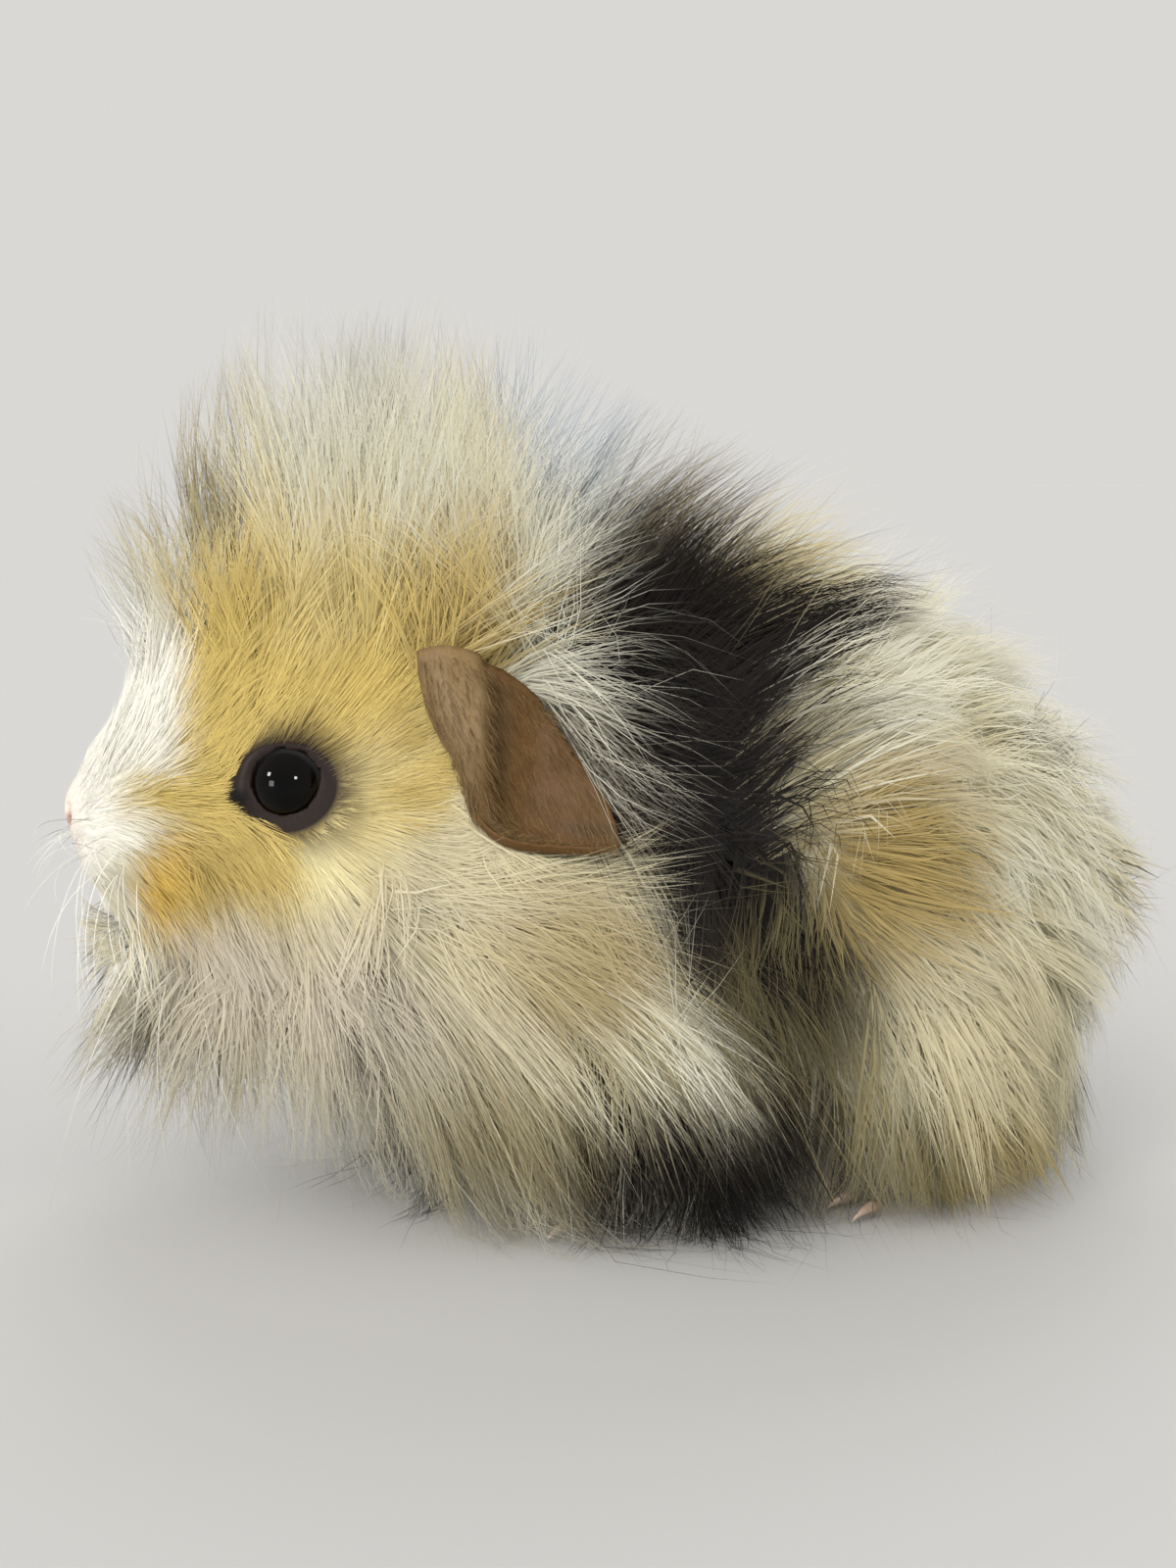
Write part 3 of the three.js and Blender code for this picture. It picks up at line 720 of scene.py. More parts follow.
# The lie of the coat. Each guide has its place, the way the hair is combed there, the hair's
# length and how far it stands free of the body (0 lies, 1 stands). Guides off the middle line
# are mirrored.
guides = {
    "face": (head, [
        ((26, 0, -2.4), (-0.5, 0, 0.9), 1.0, 0.1),
        ((25, 2.5, -3.4), (-1, 0.3, 0.3), 0.9, 0.1),
        ((24, 3.5, -6.8), (-1, 0.3, -0.1), 1.0, 0.1),
        ((22.5, 3, -0.4), (-0.6, 0.1, 0.85), 3, 0.16),
        ((20, 5, -2), (-1, 0.3, 0.5), 3.5, 0.1),
        ((18, 4, 4), (-0.35, 0.1, 0.95), 8, 0.4),
        ((17, 0, 6), (-0.15, 0, 1), 10, 0.5),
        ((12, 8, 6.5), (-0.5, 0.2, 0.85), 8, 0.25),
        ((12, 9, 0), (-0.85, 0.3, 0.5), 6, 0.12),
        ((8, 12, 3), (-0.35, 0.2, 0.9), 7, 0.2),
        ((13, 8.5, -6), (-0.95, 0.3, -0.2), 6, 0.12),
        ((18, 6.5, -9), (-0.9, 0.35, -0.45), 5.5, 0.2),
        ((21, 4, -10), (-0.5, 0.5, -0.8), 4, 0.25),
        ((7, 13, -6), (-0.75, 0.2, -0.6), 7, 0.15),
        ((8, 11, -12), (-0.65, 0.25, -0.75), 9, 0.25),
        ((0, 14.5, -8), (-0.5, 0.15, -0.85), 9, 0.18),
        ((-1, 13, 9), (-0.25, 0.2, 0.95), 10, 0.3),
        ((5, 12, 9), (-0.15, 0.2, 0.95), 10, 0.3),
        ((-7, 14.5, 4), (-0.8, 0.2, 0.55), 9.5, 0.18),
        ((-8, 15.5, -2), (-1, 0.15, 0.05), 9.5, 0.12),
        ((-7, 15.5, -7), (-0.9, 0.15, -0.5), 11, 0.18),
        ((-13, 15, 3), (-0.95, 0.25, 0.25), 9, 0.15),
        ((-13, 16, -4), (-1, 0.2, -0.15), 12, 0.15),
    ]),
    "crest": (head, [
        ((16.5, 0, 7.5), (0.35, 0, 1), 21, 0.85),
        ((15, 5, 8.5), (0.3, 0.2, 1), 20, 0.8),
        ((12.5, 0, 10), (0.7, 0, 1), 30, 1),
        ((11, 6, 10), (0.6, 0.25, 1), 27, 0.95),
        ((7, 0, 12.5), (0.4, 0, 1), 33, 1),
        ((6, 7, 12), (0.28, 0.3, 1), 26, 0.9),
        ((1, 0, 13.5), (0.12, 0, 1), 38, 1),
        ((0, 8, 12.5), (0.08, 0.28, 1), 34, 0.95),
        ((-6, 0, 14), (0, 0, 1), 46, 1),
        ((-7, 9, 12.5), (-0.04, 0.3, 1), 40, 0.95),
        ((-14, 0, 14), (-0.1, 0, 1), 44, 1),
        ((-14, 10, 11), (-0.2, 0.35, 1), 38, 0.9),
        ((-22, 0, 14), (-0.22, 0, 1), 40, 0.95),
        ((-22, 11, 12), (-0.4, 0.35, 0.95), 34, 0.8),
        ((-29, 8, 13), (-0.42, 0.35, 0.9), 32, 0.75),
        ((-28, 11, 8), (-0.35, 0.6, -0.8), 24, 0.6),
        ((-27, 14, 2), (-0.35, 0.45, -0.9), 20, 0.5),
    ]),
    "ruff": (head, [
        ((18.5, 3, -17), (0.65, 0.35, -0.5), 7.5, 0.85),
        ((19, 0, -18), (0.75, 0, -0.5), 7.5, 0.9),
        ((17, 2, -19), (0.5, 0.15, -0.9), 14, 0.85),
        ((13, 5, -19), (0.15, 0.2, -1), 26, 0.8),
        ((5, 6, -21), (-0.1, 0.2, -1), 30, 0.8),
        ((5, 11, -16), (-0.3, 0.35, -0.9), 22, 0.5),
        ((-4, 14, -15), (-0.5, 0.35, -0.8), 22, 0.45),
        ((-4, 6, -23), (-0.2, 0.25, -1), 36, 0.8),
        ((-12, 16, -9), (-0.85, 0.35, -0.35), 25, 0.4),
        ((-13, 14, -18), (-0.4, 0.4, -0.9), 33, 0.62),
        ((-18, 17, -3), (-0.9, 0.3, -0.3), 25, 0.35),
        ((-21, 16, -10), (-0.9, 0.45, -0.4), 28, 0.5),
        ((-20, 11, -20), (-0.4, 0.45, -0.95), 36, 0.66),
        ((-14, 0, -24), (-0.1, 0, -1), 33, 0.7),
    ]),
    "shoulders": (body, [
        ((22, 16, 54), (-0.55, 0.5, -0.55), 15, 0.4),
        ((16, 22, 52), (-0.9, 0.35, -0.15), 15, 0.35),
        ((22, 19, 42), (-0.65, 0.55, -0.7), 21, 0.45),
        ((14, 8, 63), (-0.4, 0.3, 0.9), 21, 0.7),
        ((14, 0, 64), (-0.35, 0, 0.95), 21, 0.7),
        ((5, 0, 66), (-0.75, 0, 0.7), 22, 0.5),
        ((5, 14, 62), (-0.85, 0.45, 0.5), 21, 0.45),
        ((8, 22, 56), (-0.9, 0.4, 0.3), 19, 0.35),
        ((8, 23, 45), (-0.5, 0.3, -0.85), 21, 0.3),
        ((16, 22, 32), (-0.45, 0.35, -0.85), 22, 0.45),
        ((24, 14, 26), (0.0, 0.4, -1), 33, 0.65),
        ((28, 0, 28), (0.1, 0, -1), 31, 0.65),
        ((12, 20, 18), (0.0, 0.45, -0.95), 30, 0.55),
        ((19, 20, 14), (0.15, 0.4, -0.95), 29, 0.6),
    ]),
    "barrel": (body, [
        ((-8, 0, 67), (-0.95, 0, 0.35), 15, 0.4),
        ((-8, 14, 63), (-0.95, 0.25, 0.15), 15, 0.35),
        ((-4, 25, 52), (-0.9, 0.3, 0.15), 14, 0.3),
        ((-5, 28, 40), (-0.55, 0.25, -0.8), 15, 0.3),
        ((-5, 27, 28), (-0.35, 0.3, -0.9), 19, 0.4),
        ((-5, 22, 17), (-0.2, 0.4, -0.95), 30, 0.5),
        ((-18, 26, 48), (-0.75, 0.3, -0.45), 15, 0.3),
        ((-18, 28, 36), (-0.5, 0.3, -0.8), 15, 0.3),
        ((-18, 25, 22), (-0.3, 0.4, -0.9), 30, 0.45),
        ((-20, 0, 64), (-0.95, 0, 0.05), 15, 0.35),
        ((-6, 24, 13), (-0.05, 0.5, -0.95), 27, 0.6),
        ((-13, 24, 13), (-0.1, 0.5, -0.95), 27, 0.6),
        ((-10, 0, 12), (-0.4, 0, -0.9), 6, 0.25),
    ]),
    "rump": (body, [
        ((-30, 0, 59), (-0.9, 0, 0), 15, 0.45),
        ((-32, 14, 54), (-0.85, 0.3, -0.2), 15, 0.4),
        ((-32, 22, 42), (-0.65, 0.3, -0.7), 15, 0.35),
        ((-34, 21, 28), (-0.35, 0.35, -0.9), 27, 0.45),
        ((-30, 20, 18), (-0.15, 0.4, -0.95), 30, 0.55),
        ((-45, 0, 44), (-0.85, 0, -0.4), 16, 0.55),
        ((-47, 9, 34), (-0.75, 0.3, -0.6), 16, 0.5),
        ((-47, 0, 26), (-0.55, 0, -0.8), 16, 0.5),
        ((-40, 16, 19), (-0.35, 0.3, -0.9), 25, 0.55),
    ]),
    "legs": (body, [
        ((13, 18, 5), (-0.2, 0.2, -1), 3, 0.1),
        ((13, 18, 10), (0.1, 0.3, -1), 12, 0.3),
        ((17, 17.5, 4.5), (0.9, 0.1, -0.4), 2.2, 0.05),
        ((-35, 22, 5), (-0.2, 0.2, -1), 3, 0.1),
        ((-36, 22, 10), (-0.3, 0.3, -1), 12, 0.3),
        ((-29, 22.5, 4.5), (0.9, 0.1, -0.4), 2.2, 0.05),
    ]),
}
# Whorls: the hair runs out from each middle, strongly within its radius.
whorls = [  # space, middle, radius, strength
    (body, (15, 26, 50), 8, 0.45),
    (body, (-1, 28, 47), 10, 0.6),
    (body, (-34, 21, 46), 8, 0.2),
]
# Long loose locks: space, place of the roots, radius there, comb, length.
looseLocks = [
    (body, (7, 20, 62), 6.0, (-0.7, 0.3, 0.7), 31),
    (body, (3, 19, 63), 5.0, (-0.75, 0.3, 0.6), 32),
    (body, (-1, 22, 58), 3.5, (-0.8, 0.4, 0.5), 27),
    (body, (0, 27, 48), 5.0, (-0.75, 0.45, 0.7), 28),
    (body, (-4, 27, 50), 3.0, (-0.85, 0.5, 0.4), 24),
    (body, (14, 12, 61), 4.0, (-0.5, 0.3, 0.9), 28),
    (body, (22, 17, 57), 4.0, (-0.35, 0.6, -0.7), 20),
    (head, (-30, 14, -4), 3.0, (-0.6, 0.45, -0.8), 22),
    (body, (-24, 22, 17), 5.0, (0.1, 0.4, -0.95), 25),
    (body, (16, 19, 15), 4.0, (0.1, 0.4, -0.95), 25),
]
# How each region's tufts are made: their number, steps, width, wave, bend and hang, the share of
# down under them, and how far beyond the coat the standing ones may reach. A lock has the number
# of tufts in it, how much it leans and differs in length, and how far its tips are drawn
# together, to which hemPull adds at the hem.
regions = {
    "face": {
        "hemPull": 0, "beyond": 0, "tufts": 19500, "steps": 3, "width": 0.11, "wave": 0.15,
        "bend": 0.1, "hang": 0, "under": 0, "split": True,
        "locks": ((60, 0.12, 0.10, 0.2), (7, 0.09, 0.08, 0.35)),
    },
    "crest": {
        "hemPull": 0, "beyond": 4.5, "tufts": 9000, "steps": 5, "width": 0.145, "wave": 1.3,
        "bend": 0.3, "hang": 0, "under": 0, "split": True,
        "locks": ((70, 0.24, 0.34, 0.58), (9, 0.11, 0.2, 0.86)),
    },
    "ruff": {
        "hemPull": 0, "beyond": 5, "tufts": 11500, "steps": 4, "width": 0.15, "wave": 1.0,
        "bend": 0.5, "hang": 0.6, "under": 0.1, "split": True,
        "locks": ((90, 0.26, 0.2, 0.4), (11, 0.14, 0.16, 0.6)),
    },
    "shoulders": {
        "hemPull": 0.5, "beyond": 2, "tufts": 9800, "steps": 4, "width": 0.155, "wave": 0.9,
        "bend": 0.35, "hang": 1, "under": 0.08, "split": True,
        "locks": ((90, 0.2, 0.18, 0.4), (11, 0.12, 0.14, 0.6)),
    },
    "barrel": {
        "hemPull": 0.7, "beyond": 1, "tufts": 12800, "steps": 3, "width": 0.135, "wave": 0.9,
        "bend": 0.35, "hang": 1, "under": 0.12, "split": True,
        "locks": ((60, 0.36, 0.16, 0.42), (10, 0.16, 0.14, 0.55)),
    },
    "rump": {
        "hemPull": 0.7, "beyond": 1, "tufts": 10800, "steps": 3, "width": 0.135, "wave": 0.9,
        "bend": 0.35, "hang": 1, "under": 0.12, "split": False,
        "locks": ((60, 0.36, 0.16, 0.42), (10, 0.16, 0.14, 0.55)),
    },
    "legs": {
        "hemPull": 0, "beyond": 0, "tufts": 2000, "steps": 3, "width": 0.12, "wave": 0.05,
        "bend": 0, "hang": 0, "under": 0, "split": False,
        "locks": ((8, 0.05, 0.05, 0.2),),
    },
}
# Under the fine hair lie broader, flatter and shorter tufts of down that fill the coat out.
down = {"width": 0.5, "length": 0.62, "depth": 0.55, "thick": 0.3}

guidePlace, guideComb, guideLength, guideStand, guideRegion = [], [], [], [], []
combing = {"softness": 3.0, "whorl": 1.3, "block": 20000}
for regionIndex, (regionName, (space, lines)) in enumerate(guides.items()):
    for at, comb, length, stand in lines:
        for side in bothSides(at):
            guidePlace.append(placeOn(space, at, side))
            guideComb.append(unit(wayOn(space, comb, side)))
            guideLength.append(length)
            guideStand.append(stand)
            guideRegion.append(regionIndex)
guidePlace, guideComb = np.array(guidePlace), np.array(guideComb)
guideLength, guideStand = np.array(guideLength), np.array(guideStand)
guideRegion = np.array(guideRegion)
regionNames = list(guides)


# The comb, length, stand and region of hair at these places, from the guides round them.
def combed(points):
    combs, lengths, stands, nearest = [], [], [], []
    for i in range(0, len(points), combing["block"]):
        part = points[i:i + combing["block"]]
        squared = np.sum((part[:, None] - guidePlace[None]) ** 2, axis=-1)
        weight = 1 / (squared + combing["softness"]) ** 2
        weight /= weight.sum(axis=1, keepdims=True)
        combs.append(weight @ guideComb)
        lengths.append(weight @ guideLength)
        stands.append(weight @ guideStand)
        nearest.append(squared.argmin(axis=1))
    comb = np.concatenate(combs)
    for space, place, radius, most in whorls:
        for side in bothSides(place):
            middle = placeOn(space, place, side)
            out = points - middle
            reach = np.linalg.norm(out, axis=1)
            strength = most * np.exp(-(reach / radius) ** 2)[:, None]
            comb = comb * (1 - strength) + combing["whorl"] * strength * unit(out)
    region = guideRegion[np.concatenate(nearest)]
    return unit(comb), np.concatenate(lengths), np.concatenate(stands), region


# The skin's faces as triangles, for the hair's roots.
triangles = np.array([(f[0], f[i], f[i + 1]) for f in skinFaces for i in range(1, len(f) - 1)])
triangleCorners = skinPoints[triangles]
triangleMiddle = triangleCorners.mean(axis=1)
triangleSides = triangleCorners[:, 1:] - triangleCorners[:, :1]
triangleArea = np.linalg.norm(np.cross(triangleSides[:, 0], triangleSides[:, 1]), axis=1) / 2
triangleRegion = combed(triangleMiddle)[3]
triangleFacing = fleshBox.slope(triangleMiddle)[:, 2]

# Ellipses round the eye as seen from the side: middle, slope and half sizes.
eyeZones = {
    "bare": {"ahead": 0.3, "up": -0.3, "slope": 0.12, "half": (5.6, 4.75)},
    "open": {"ahead": 0.3, "up": -0.3, "slope": 0.12, "half": (5.0, 4.25)},
    "shaded": {"ahead": 0.0, "up": 0.0, "slope": 0.06, "half": (5.9, 5.2)},
}


# How far out places of the head lie in a zone round the eye: 1 on its edge.
def aroundEye(local, zoneName):
    zone = eyeZones[zoneName]
    ahead = local[..., 0] - zone["ahead"]
    up = local[..., 2] - zone["up"] - zone["slope"] * local[..., 0]
    return np.hypot(ahead / zone["half"][0], up / zone["half"][1])


# Where no hair grows: lids, nose, lips and soles.
bareParts = {
    "eyeAside": 9,
    "noseMiddle": (26.6, 0, -6.4),
    "noseHalf": (2.6, 3.8, 2.6),
    "lips": {"up": -12.9, "half": 0.7, "ahead": 17, "aside": 5},
    "soleHeight": 0.9,
}


def bareness(points):
    local = toSpace(head, points)
    ahead, aside, up = local[:, 0], np.abs(local[:, 1]), local[:, 2]
    lid = (aroundEye(local, "bare") < 1) & (aside > bareParts["eyeAside"])
    fromNose = (local - np.array(bareParts["noseMiddle"])) / np.array(bareParts["noseHalf"])
    nose = np.linalg.norm(fromNose, axis=1) < 1
    lips = bareParts["lips"]
    mouth = (np.abs(up - lips["up"]) < lips["half"]) & (ahead > lips["ahead"]) & (aside < lips["aside"])
    sole = points[:, 2] < bareParts["soleHeight"]
    return lid | nose | mouth | sole


# How densely the tufts stand: thinly on the belly and at the crest's front, densely at the hem.
rootShare = {
    "belly": 0.35,
    "bellyFacing": -0.75,
    "hem": 1.4,
    "hemHeight": 26,
    "crestFront": 0.62,
    "crestFrontAhead": 7,
}


def rootsFor(regionIndex, count):
    grows = (triangleRegion == regionIndex) & ~bareness(triangleMiddle)
    belly = triangleFacing < rootShare["bellyFacing"]
    atHem = (triangleMiddle[:, 2] < rootShare["hemHeight"]) & (triangleFacing > rootShare["bellyFacing"])
    share = np.where(grows, triangleArea, 0)
    share = share * np.where(belly, rootShare["belly"], 1) * np.where(atHem, rootShare["hem"], 1)
    if regionNames[regionIndex] == "crest":
        front = toSpace(head, triangleMiddle)[:, 0] > rootShare["crestFrontAhead"]
        share = share * np.where(front, rootShare["crestFront"], 1)
    chosen = random.choice(len(share), size=count, p=share / share.sum())
    a, b = random.random(count), random.random(count)
    flip = a + b > 1
    a[flip], b[flip] = 1 - a[flip], 1 - b[flip]
    first, second, third = triangleCorners[chosen].transpose(1, 0, 2)
    return first + a[:, None] * (second - first) + b[:, None] * (third - first)


# Two crossing waves through space, so that neighbouring tufts differ together.
waves = {
    "phase": (0.3, 1.7, 4.1),
    "long": ((1.0, 0.4, -0.7), (-0.5, 1.1, 0.6), (0.8, -0.6, 1.0)),
    "short": ((0.5, -1.3, 0.9), (1.2, 0.3, -0.8), (-0.9, 0.8, 1.2)),
    "shorter": 1.9,
    "shares": (0.65, 0.35),
}


def wander(points, size):
    phase = np.array(waves["phase"])
    longWave = np.sin(points @ np.array(waves["long"]).T / size + phase)
    shortWave = np.sin(points @ (np.array(waves["short"]).T * waves["shorter"]) / size + phase)
    return longWave * waves["shares"][0] + shortWave * waves["shares"][1]


# The leaders of the locks, and for each root the lock it belongs to.
def gathered(roots, perLock):
    leaders = random.choice(len(roots), size=max(len(roots) // perLock, 1), replace=False)
    tree = kdtree.KDTree(len(leaders))
    for k, i in enumerate(leaders):
        tree.insert(roots[i], k)
    tree.balance()
    return leaders, np.array([tree.find(p)[1] for p in roots])


# The coat's hem. Below its height only the distance to the side counts, and it is higher under
# the head. Behind the animal the hem is tucked in.
hem = {
    "height": 16,
    "headRise": 10,
    "headAhead": (6, 16),
    "tuckBehind": (-24, -32),
    "tuckHeight": 28,
    "tuckSlope": 0.25,
    "tuckMost": 4,
}


# How far places lie outside the coat.
def coatReach(points):
    ahead = toSpace(body, points)[:, 0]
    headFrom, headTo = hem["headAhead"]
    underHead = np.clip((ahead - headFrom) / (headTo - headFrom), 0, 1)
    raised = points.copy()
    raised[:, 2] = np.maximum(raised[:, 2], hem["height"] + hem["headRise"] * underHead)
    beyondBox = np.linalg.norm(points - np.clip(points, boxLow, boxHigh), axis=1)
    tuckFrom, tuckTo = hem["tuckBehind"]
    behind = np.clip((tuckFrom - ahead) / (tuckFrom - tuckTo), 0, 1)
    tucked = behind * np.clip((hem["tuckHeight"] - points[:, 2]) * hem["tuckSlope"], 0, hem["tuckMost"])
    return np.minimum(coatBox.at(points), coatBox.at(raised)) + beyondBox + tucked


# How a tuft grows. Pairs are a least value and what chance may add to it.
growth = {
    "rank": (0.12, 0.88),  # the share of the coat's depth that it rises through
    "length": (0.86, 0.24),
    "loft": (1.5, 0.7),
    "ground": (0.4, 0.8),
    "flyawayRank": 1.25,
    "flyawayLength": 1.35,
    "lockLimits": (-1.8, 1.4),
    "riseLimits": (-0.55, 0.93),
    "leastDepth": 0.6,
    "bend": {"shift": 40, "size": 5.0},
    "sway": {"laid": 0.2, "loose": 0.05, "size": 8.0},
    "jitter": {"laid": 0.1, "loose": 0.05},
    "hang": {"height": 36, "over": 16, "freedom": 0.75, "drop": 0.6},
}
looseGrowth = {"beyond": 1.5, "share": 0.6, "length": (0.75, 0.3), "stand": 0.9, "droop": 0.45}


# A growth value for each tuft.
def growing(name, count):
    least, more = growth[name]
    return least + more * random.random(count)


# How the tufts at these roots start out: the way each would grow if it stood free, its length,
# how far it stands, its share of the coat's depth, and whether it is of a loose lock.
def startsOf(roots, settings, flyaway, under, locks):
    count = len(roots)
    comb, length, stand, _ = combed(roots)
    least, more = growth["rank"]
    rank = least + more * np.sqrt(random.random(count))
    rank[flyaway] = growth["flyawayRank"]
    rank[under] *= down["depth"]
    length = length * growing("length", count)
    for (_, lean, spread, _), (leaders, member) in zip(settings["locks"], locks):
        turn = lean * random.normal(size=(len(leaders), 3))
        comb = comb + turn[member]
        longer = random.normal(size=len(leaders)).clip(*growth["lockLimits"])
        length = length * (1 + spread * longer)[member]
    loose = np.zeros(count, bool)
    for space, place, radius, lockComb, lockLong in looseLocks:
        for side in bothSides(place):
            middle = placeOn(space, place, side)
            near = np.linalg.norm(roots - middle, axis=1) < radius + looseGrowth["beyond"]
            inside = near & (random.random(count) < looseGrowth["share"])
            comb[inside] = unit(wayOn(space, lockComb, side))
            least, more = looseGrowth["length"]
            length[inside] = lockLong * (least + more * random.random(inside.sum()))
            stand[inside] = looseGrowth["stand"]
            loose |= inside
    length[flyaway] *= growth["flyawayLength"]
    length[under] *= down["length"]
    sway = np.where(loose, growth["sway"]["loose"], growth["sway"]["laid"])[:, None]
    sway = sway * wander(roots, growth["sway"]["size"])
    jitter = np.where(loose, growth["jitter"]["loose"], growth["jitter"]["laid"])[:, None]
    jitter = jitter * random.normal(size=(count, 3))
    return unit(comb + sway + jitter), length, stand, rank, loose


# The tufts' paths, laid step by step from the skin out into the coat.
def strandPaths(roots, settings, flyaway, under, locks):
    count, steps = len(roots), settings["steps"]
    free, length, stand, rank, loose = startsOf(roots, settings, flyaway, under, locks)
    bend = settings["bend"] * wander(roots + growth["bend"]["shift"], growth["bend"]["size"])
    point = roots.copy()
    path = [point]
    loft = growing("loft", count)
    ground = growing("ground", count)
    hang = growth["hang"]
    for step in range(1, steps + 1):
        t = step / steps
        height = fleshBox.at(point)
        depth = np.maximum(height - coatReach(point), growth["leastDepth"])
        normal = fleshBox.slope(point)
        flat = unit(free - np.sum(free * normal, axis=1, keepdims=True) * normal)
        target = rank * depth * (1 - (1 - t) ** loft)
        stride = length / steps
        rise = np.clip((target - height) / stride, *growth["riseLimits"])
        laid = flat * np.sqrt(1 - rise ** 2)[:, None] + normal * rise[:, None]
        low = settings["hang"] * np.clip((hang["height"] - point[:, 2]) / hang["over"], 0, 1)
        freedom = np.maximum(stand, hang["freedom"] * low * t)
        way = laid * (1 - freedom)[:, None] + free * freedom[:, None]
        way = way + bend * t
        way[:, 2] -= hang["drop"] * low * t + looseGrowth["droop"] * loose * t ** 2
        point = point + unit(way) * stride[:, None]
        point[:, 2] = np.maximum(point[:, 2], ground)
        path.append(point)
    return np.stack(path, axis=1), stand, loose


# Each path cut to its share of the way, in as many steps as before.
def shortened(path, share):
    steps = path.shape[1] - 1
    where = np.linspace(0, 1, steps + 1)[None, :] * share[:, None] * steps
    low = np.clip(np.floor(where).astype(int), 0, steps - 1)
    part = (where - low)[..., None]
    rows = np.arange(len(path))[:, None]
    return path[rows, low] * (1 - part) + path[rows, low + 1] * part


# The share of each path that stays within the allowed reach beyond the coat.
def keptShare(path, allowed):
    steps = path.shape[1] - 1
    share = np.ones(len(path))
    finished = np.zeros(len(path), bool)
    before = coatReach(path[:, 0])
    for step in range(1, steps + 1):
        here = coatReach(path[:, step])
        crossing = (here > allowed) & ~finished
        part = np.clip((allowed - before) / np.maximum(here - before, 1e-3), 0, 1)
        share[crossing] = ((step - 1 + part) / steps)[crossing]
        finished |= crossing
        before = here
    return share


# Hair ends before the eye's opening and before the ear's sheet, from either side.
clearing = {
    "eyeAside": 12,
    "eyeGap": 0.6,
    "earAhead": (-45, -4),
    "earUp": (-22, 26),
    "earGap": 0.1,
    "behindEar": 14,
    "behindShare": 0.35,
}


def clearOfEyesAndEars(path):
    steps = path.shape[1] - 1
    share = np.ones(len(path))
    local = toSpace(head, path.reshape(-1, 3)).reshape(path.shape)
    onEye = (aroundEye(local, "open") < 1) & (np.abs(local[..., 1]) > clearing["eyeAside"])
    for step in range(steps, 0, -1):
        share[onEye[:, step]] = (step - clearing["eyeGap"]) / steps
    ahead, aside, up = local[:, 0].T
    near = (ahead > clearing["earAhead"][0]) & (ahead < clearing["earAhead"][1])
    near &= (up > clearing["earUp"][0]) & (up < clearing["earUp"][1])
    for i in np.nonzero(near)[0]:
        side = 1 if aside[i] > 0 else -1
        inward = Vector(-side * headLeft)
        for step in range(steps):
            start, end = Vector(path[i, step]), Vector(path[i, step + 1])
            way = end - start
            hit = earTrees[side].ray_cast(start, way.normalized(), way.length)
            if hit[0] is not None:
                part = max(hit[3] / way.length - clearing["earGap"], 0)
                share[i] = min(share[i], (step + part) / steps)
                break
            if earMiddles[side].ray_cast(end, inward, clearing["behindEar"])[0] is not None:
                share[i] = min(share[i], (step + clearing["behindShare"]) / steps)
                break
    return share


# The tips of each lock drawn to its leader's, more so at the hem.
drawing = {"least": 0.6, "more": 0.6, "most": 0.95, "power": 1.5, "hemHeight": 30, "hemOver": 12}


def drawnTogether(path, settings, flyaway, locks):
    count, points = path.shape[:2]
    t = np.linspace(0, 1, points)[None, :, None]
    for (_, _, _, pull), (leaders, member) in zip(settings["locks"], locks):
        leader = leaders[member]
        amount = pull * (drawing["least"] + drawing["more"] * random.random(count))
        atHem = np.clip((drawing["hemHeight"] - path[:, 0, 2]) / drawing["hemOver"], 0, 1)
        amount *= 1 + settings["hemPull"] * atHem
        amount[flyaway] = 0
        amount = np.clip(amount, 0, drawing["most"])[:, None, None] * t ** drawing["power"]
        path = path + (path[leader] - path) * amount
    return path


# A wave along each tuft: pairs are a least value and what chance may add to it.
waving = {
    "turns": (0.35, 0.5),
    "size": (0.4, 1.2),
    "fullLength": 18,
    "limits": (0.2, 1.5),
    "power": 1.3,
}


def waved(path, settings):
    count, points = path.shape[:2]
    t = np.linspace(0, 1, points)[None, :, None]
    way = unit(path[:, -1] - path[:, 0])
    across = unit(np.cross(way, random.normal(size=(count, 3))))
    long = np.linalg.norm(path[:, -1] - path[:, 0], axis=1)[:, None, None]
    phase = random.random((count, 1, 1)) * 2 * math.pi
    turns = waving["turns"][0] + waving["turns"][1] * random.random((count, 1, 1))
    size = settings["wave"] * (waving["size"][0] + waving["size"][1] * random.random((count, 1, 1)))
    size = size * np.clip(long / waving["fullLength"], *waving["limits"])
    wave = np.sin(phase + turns * 2 * math.pi * t) - np.sin(phase)
    return path + across[:, None] * size * t ** waving["power"] * wave


# A tuft is a closed three-sided taper. Its shading leans towards the coat's own surface, so that
# many fine tufts read as one soft coat.
tuft = {
    "corners": ((1, -0.4), (-1, -0.4), (0, 1)),
    "taper": 2.2,
    "rootWidth": 0.72,
    "rootLength": 0.25,
    "coatLean": 1.2,
    "flatten": 0.55,
    "ownShare": 0.2,
    "softShare": 0.9,
    "edge": 0.3,
    "tip": 0.1,
    "rimWide": 1.5,
    "rimAside": 9,
    "rimFade": 2.6,
    "patch": 0.003,
}


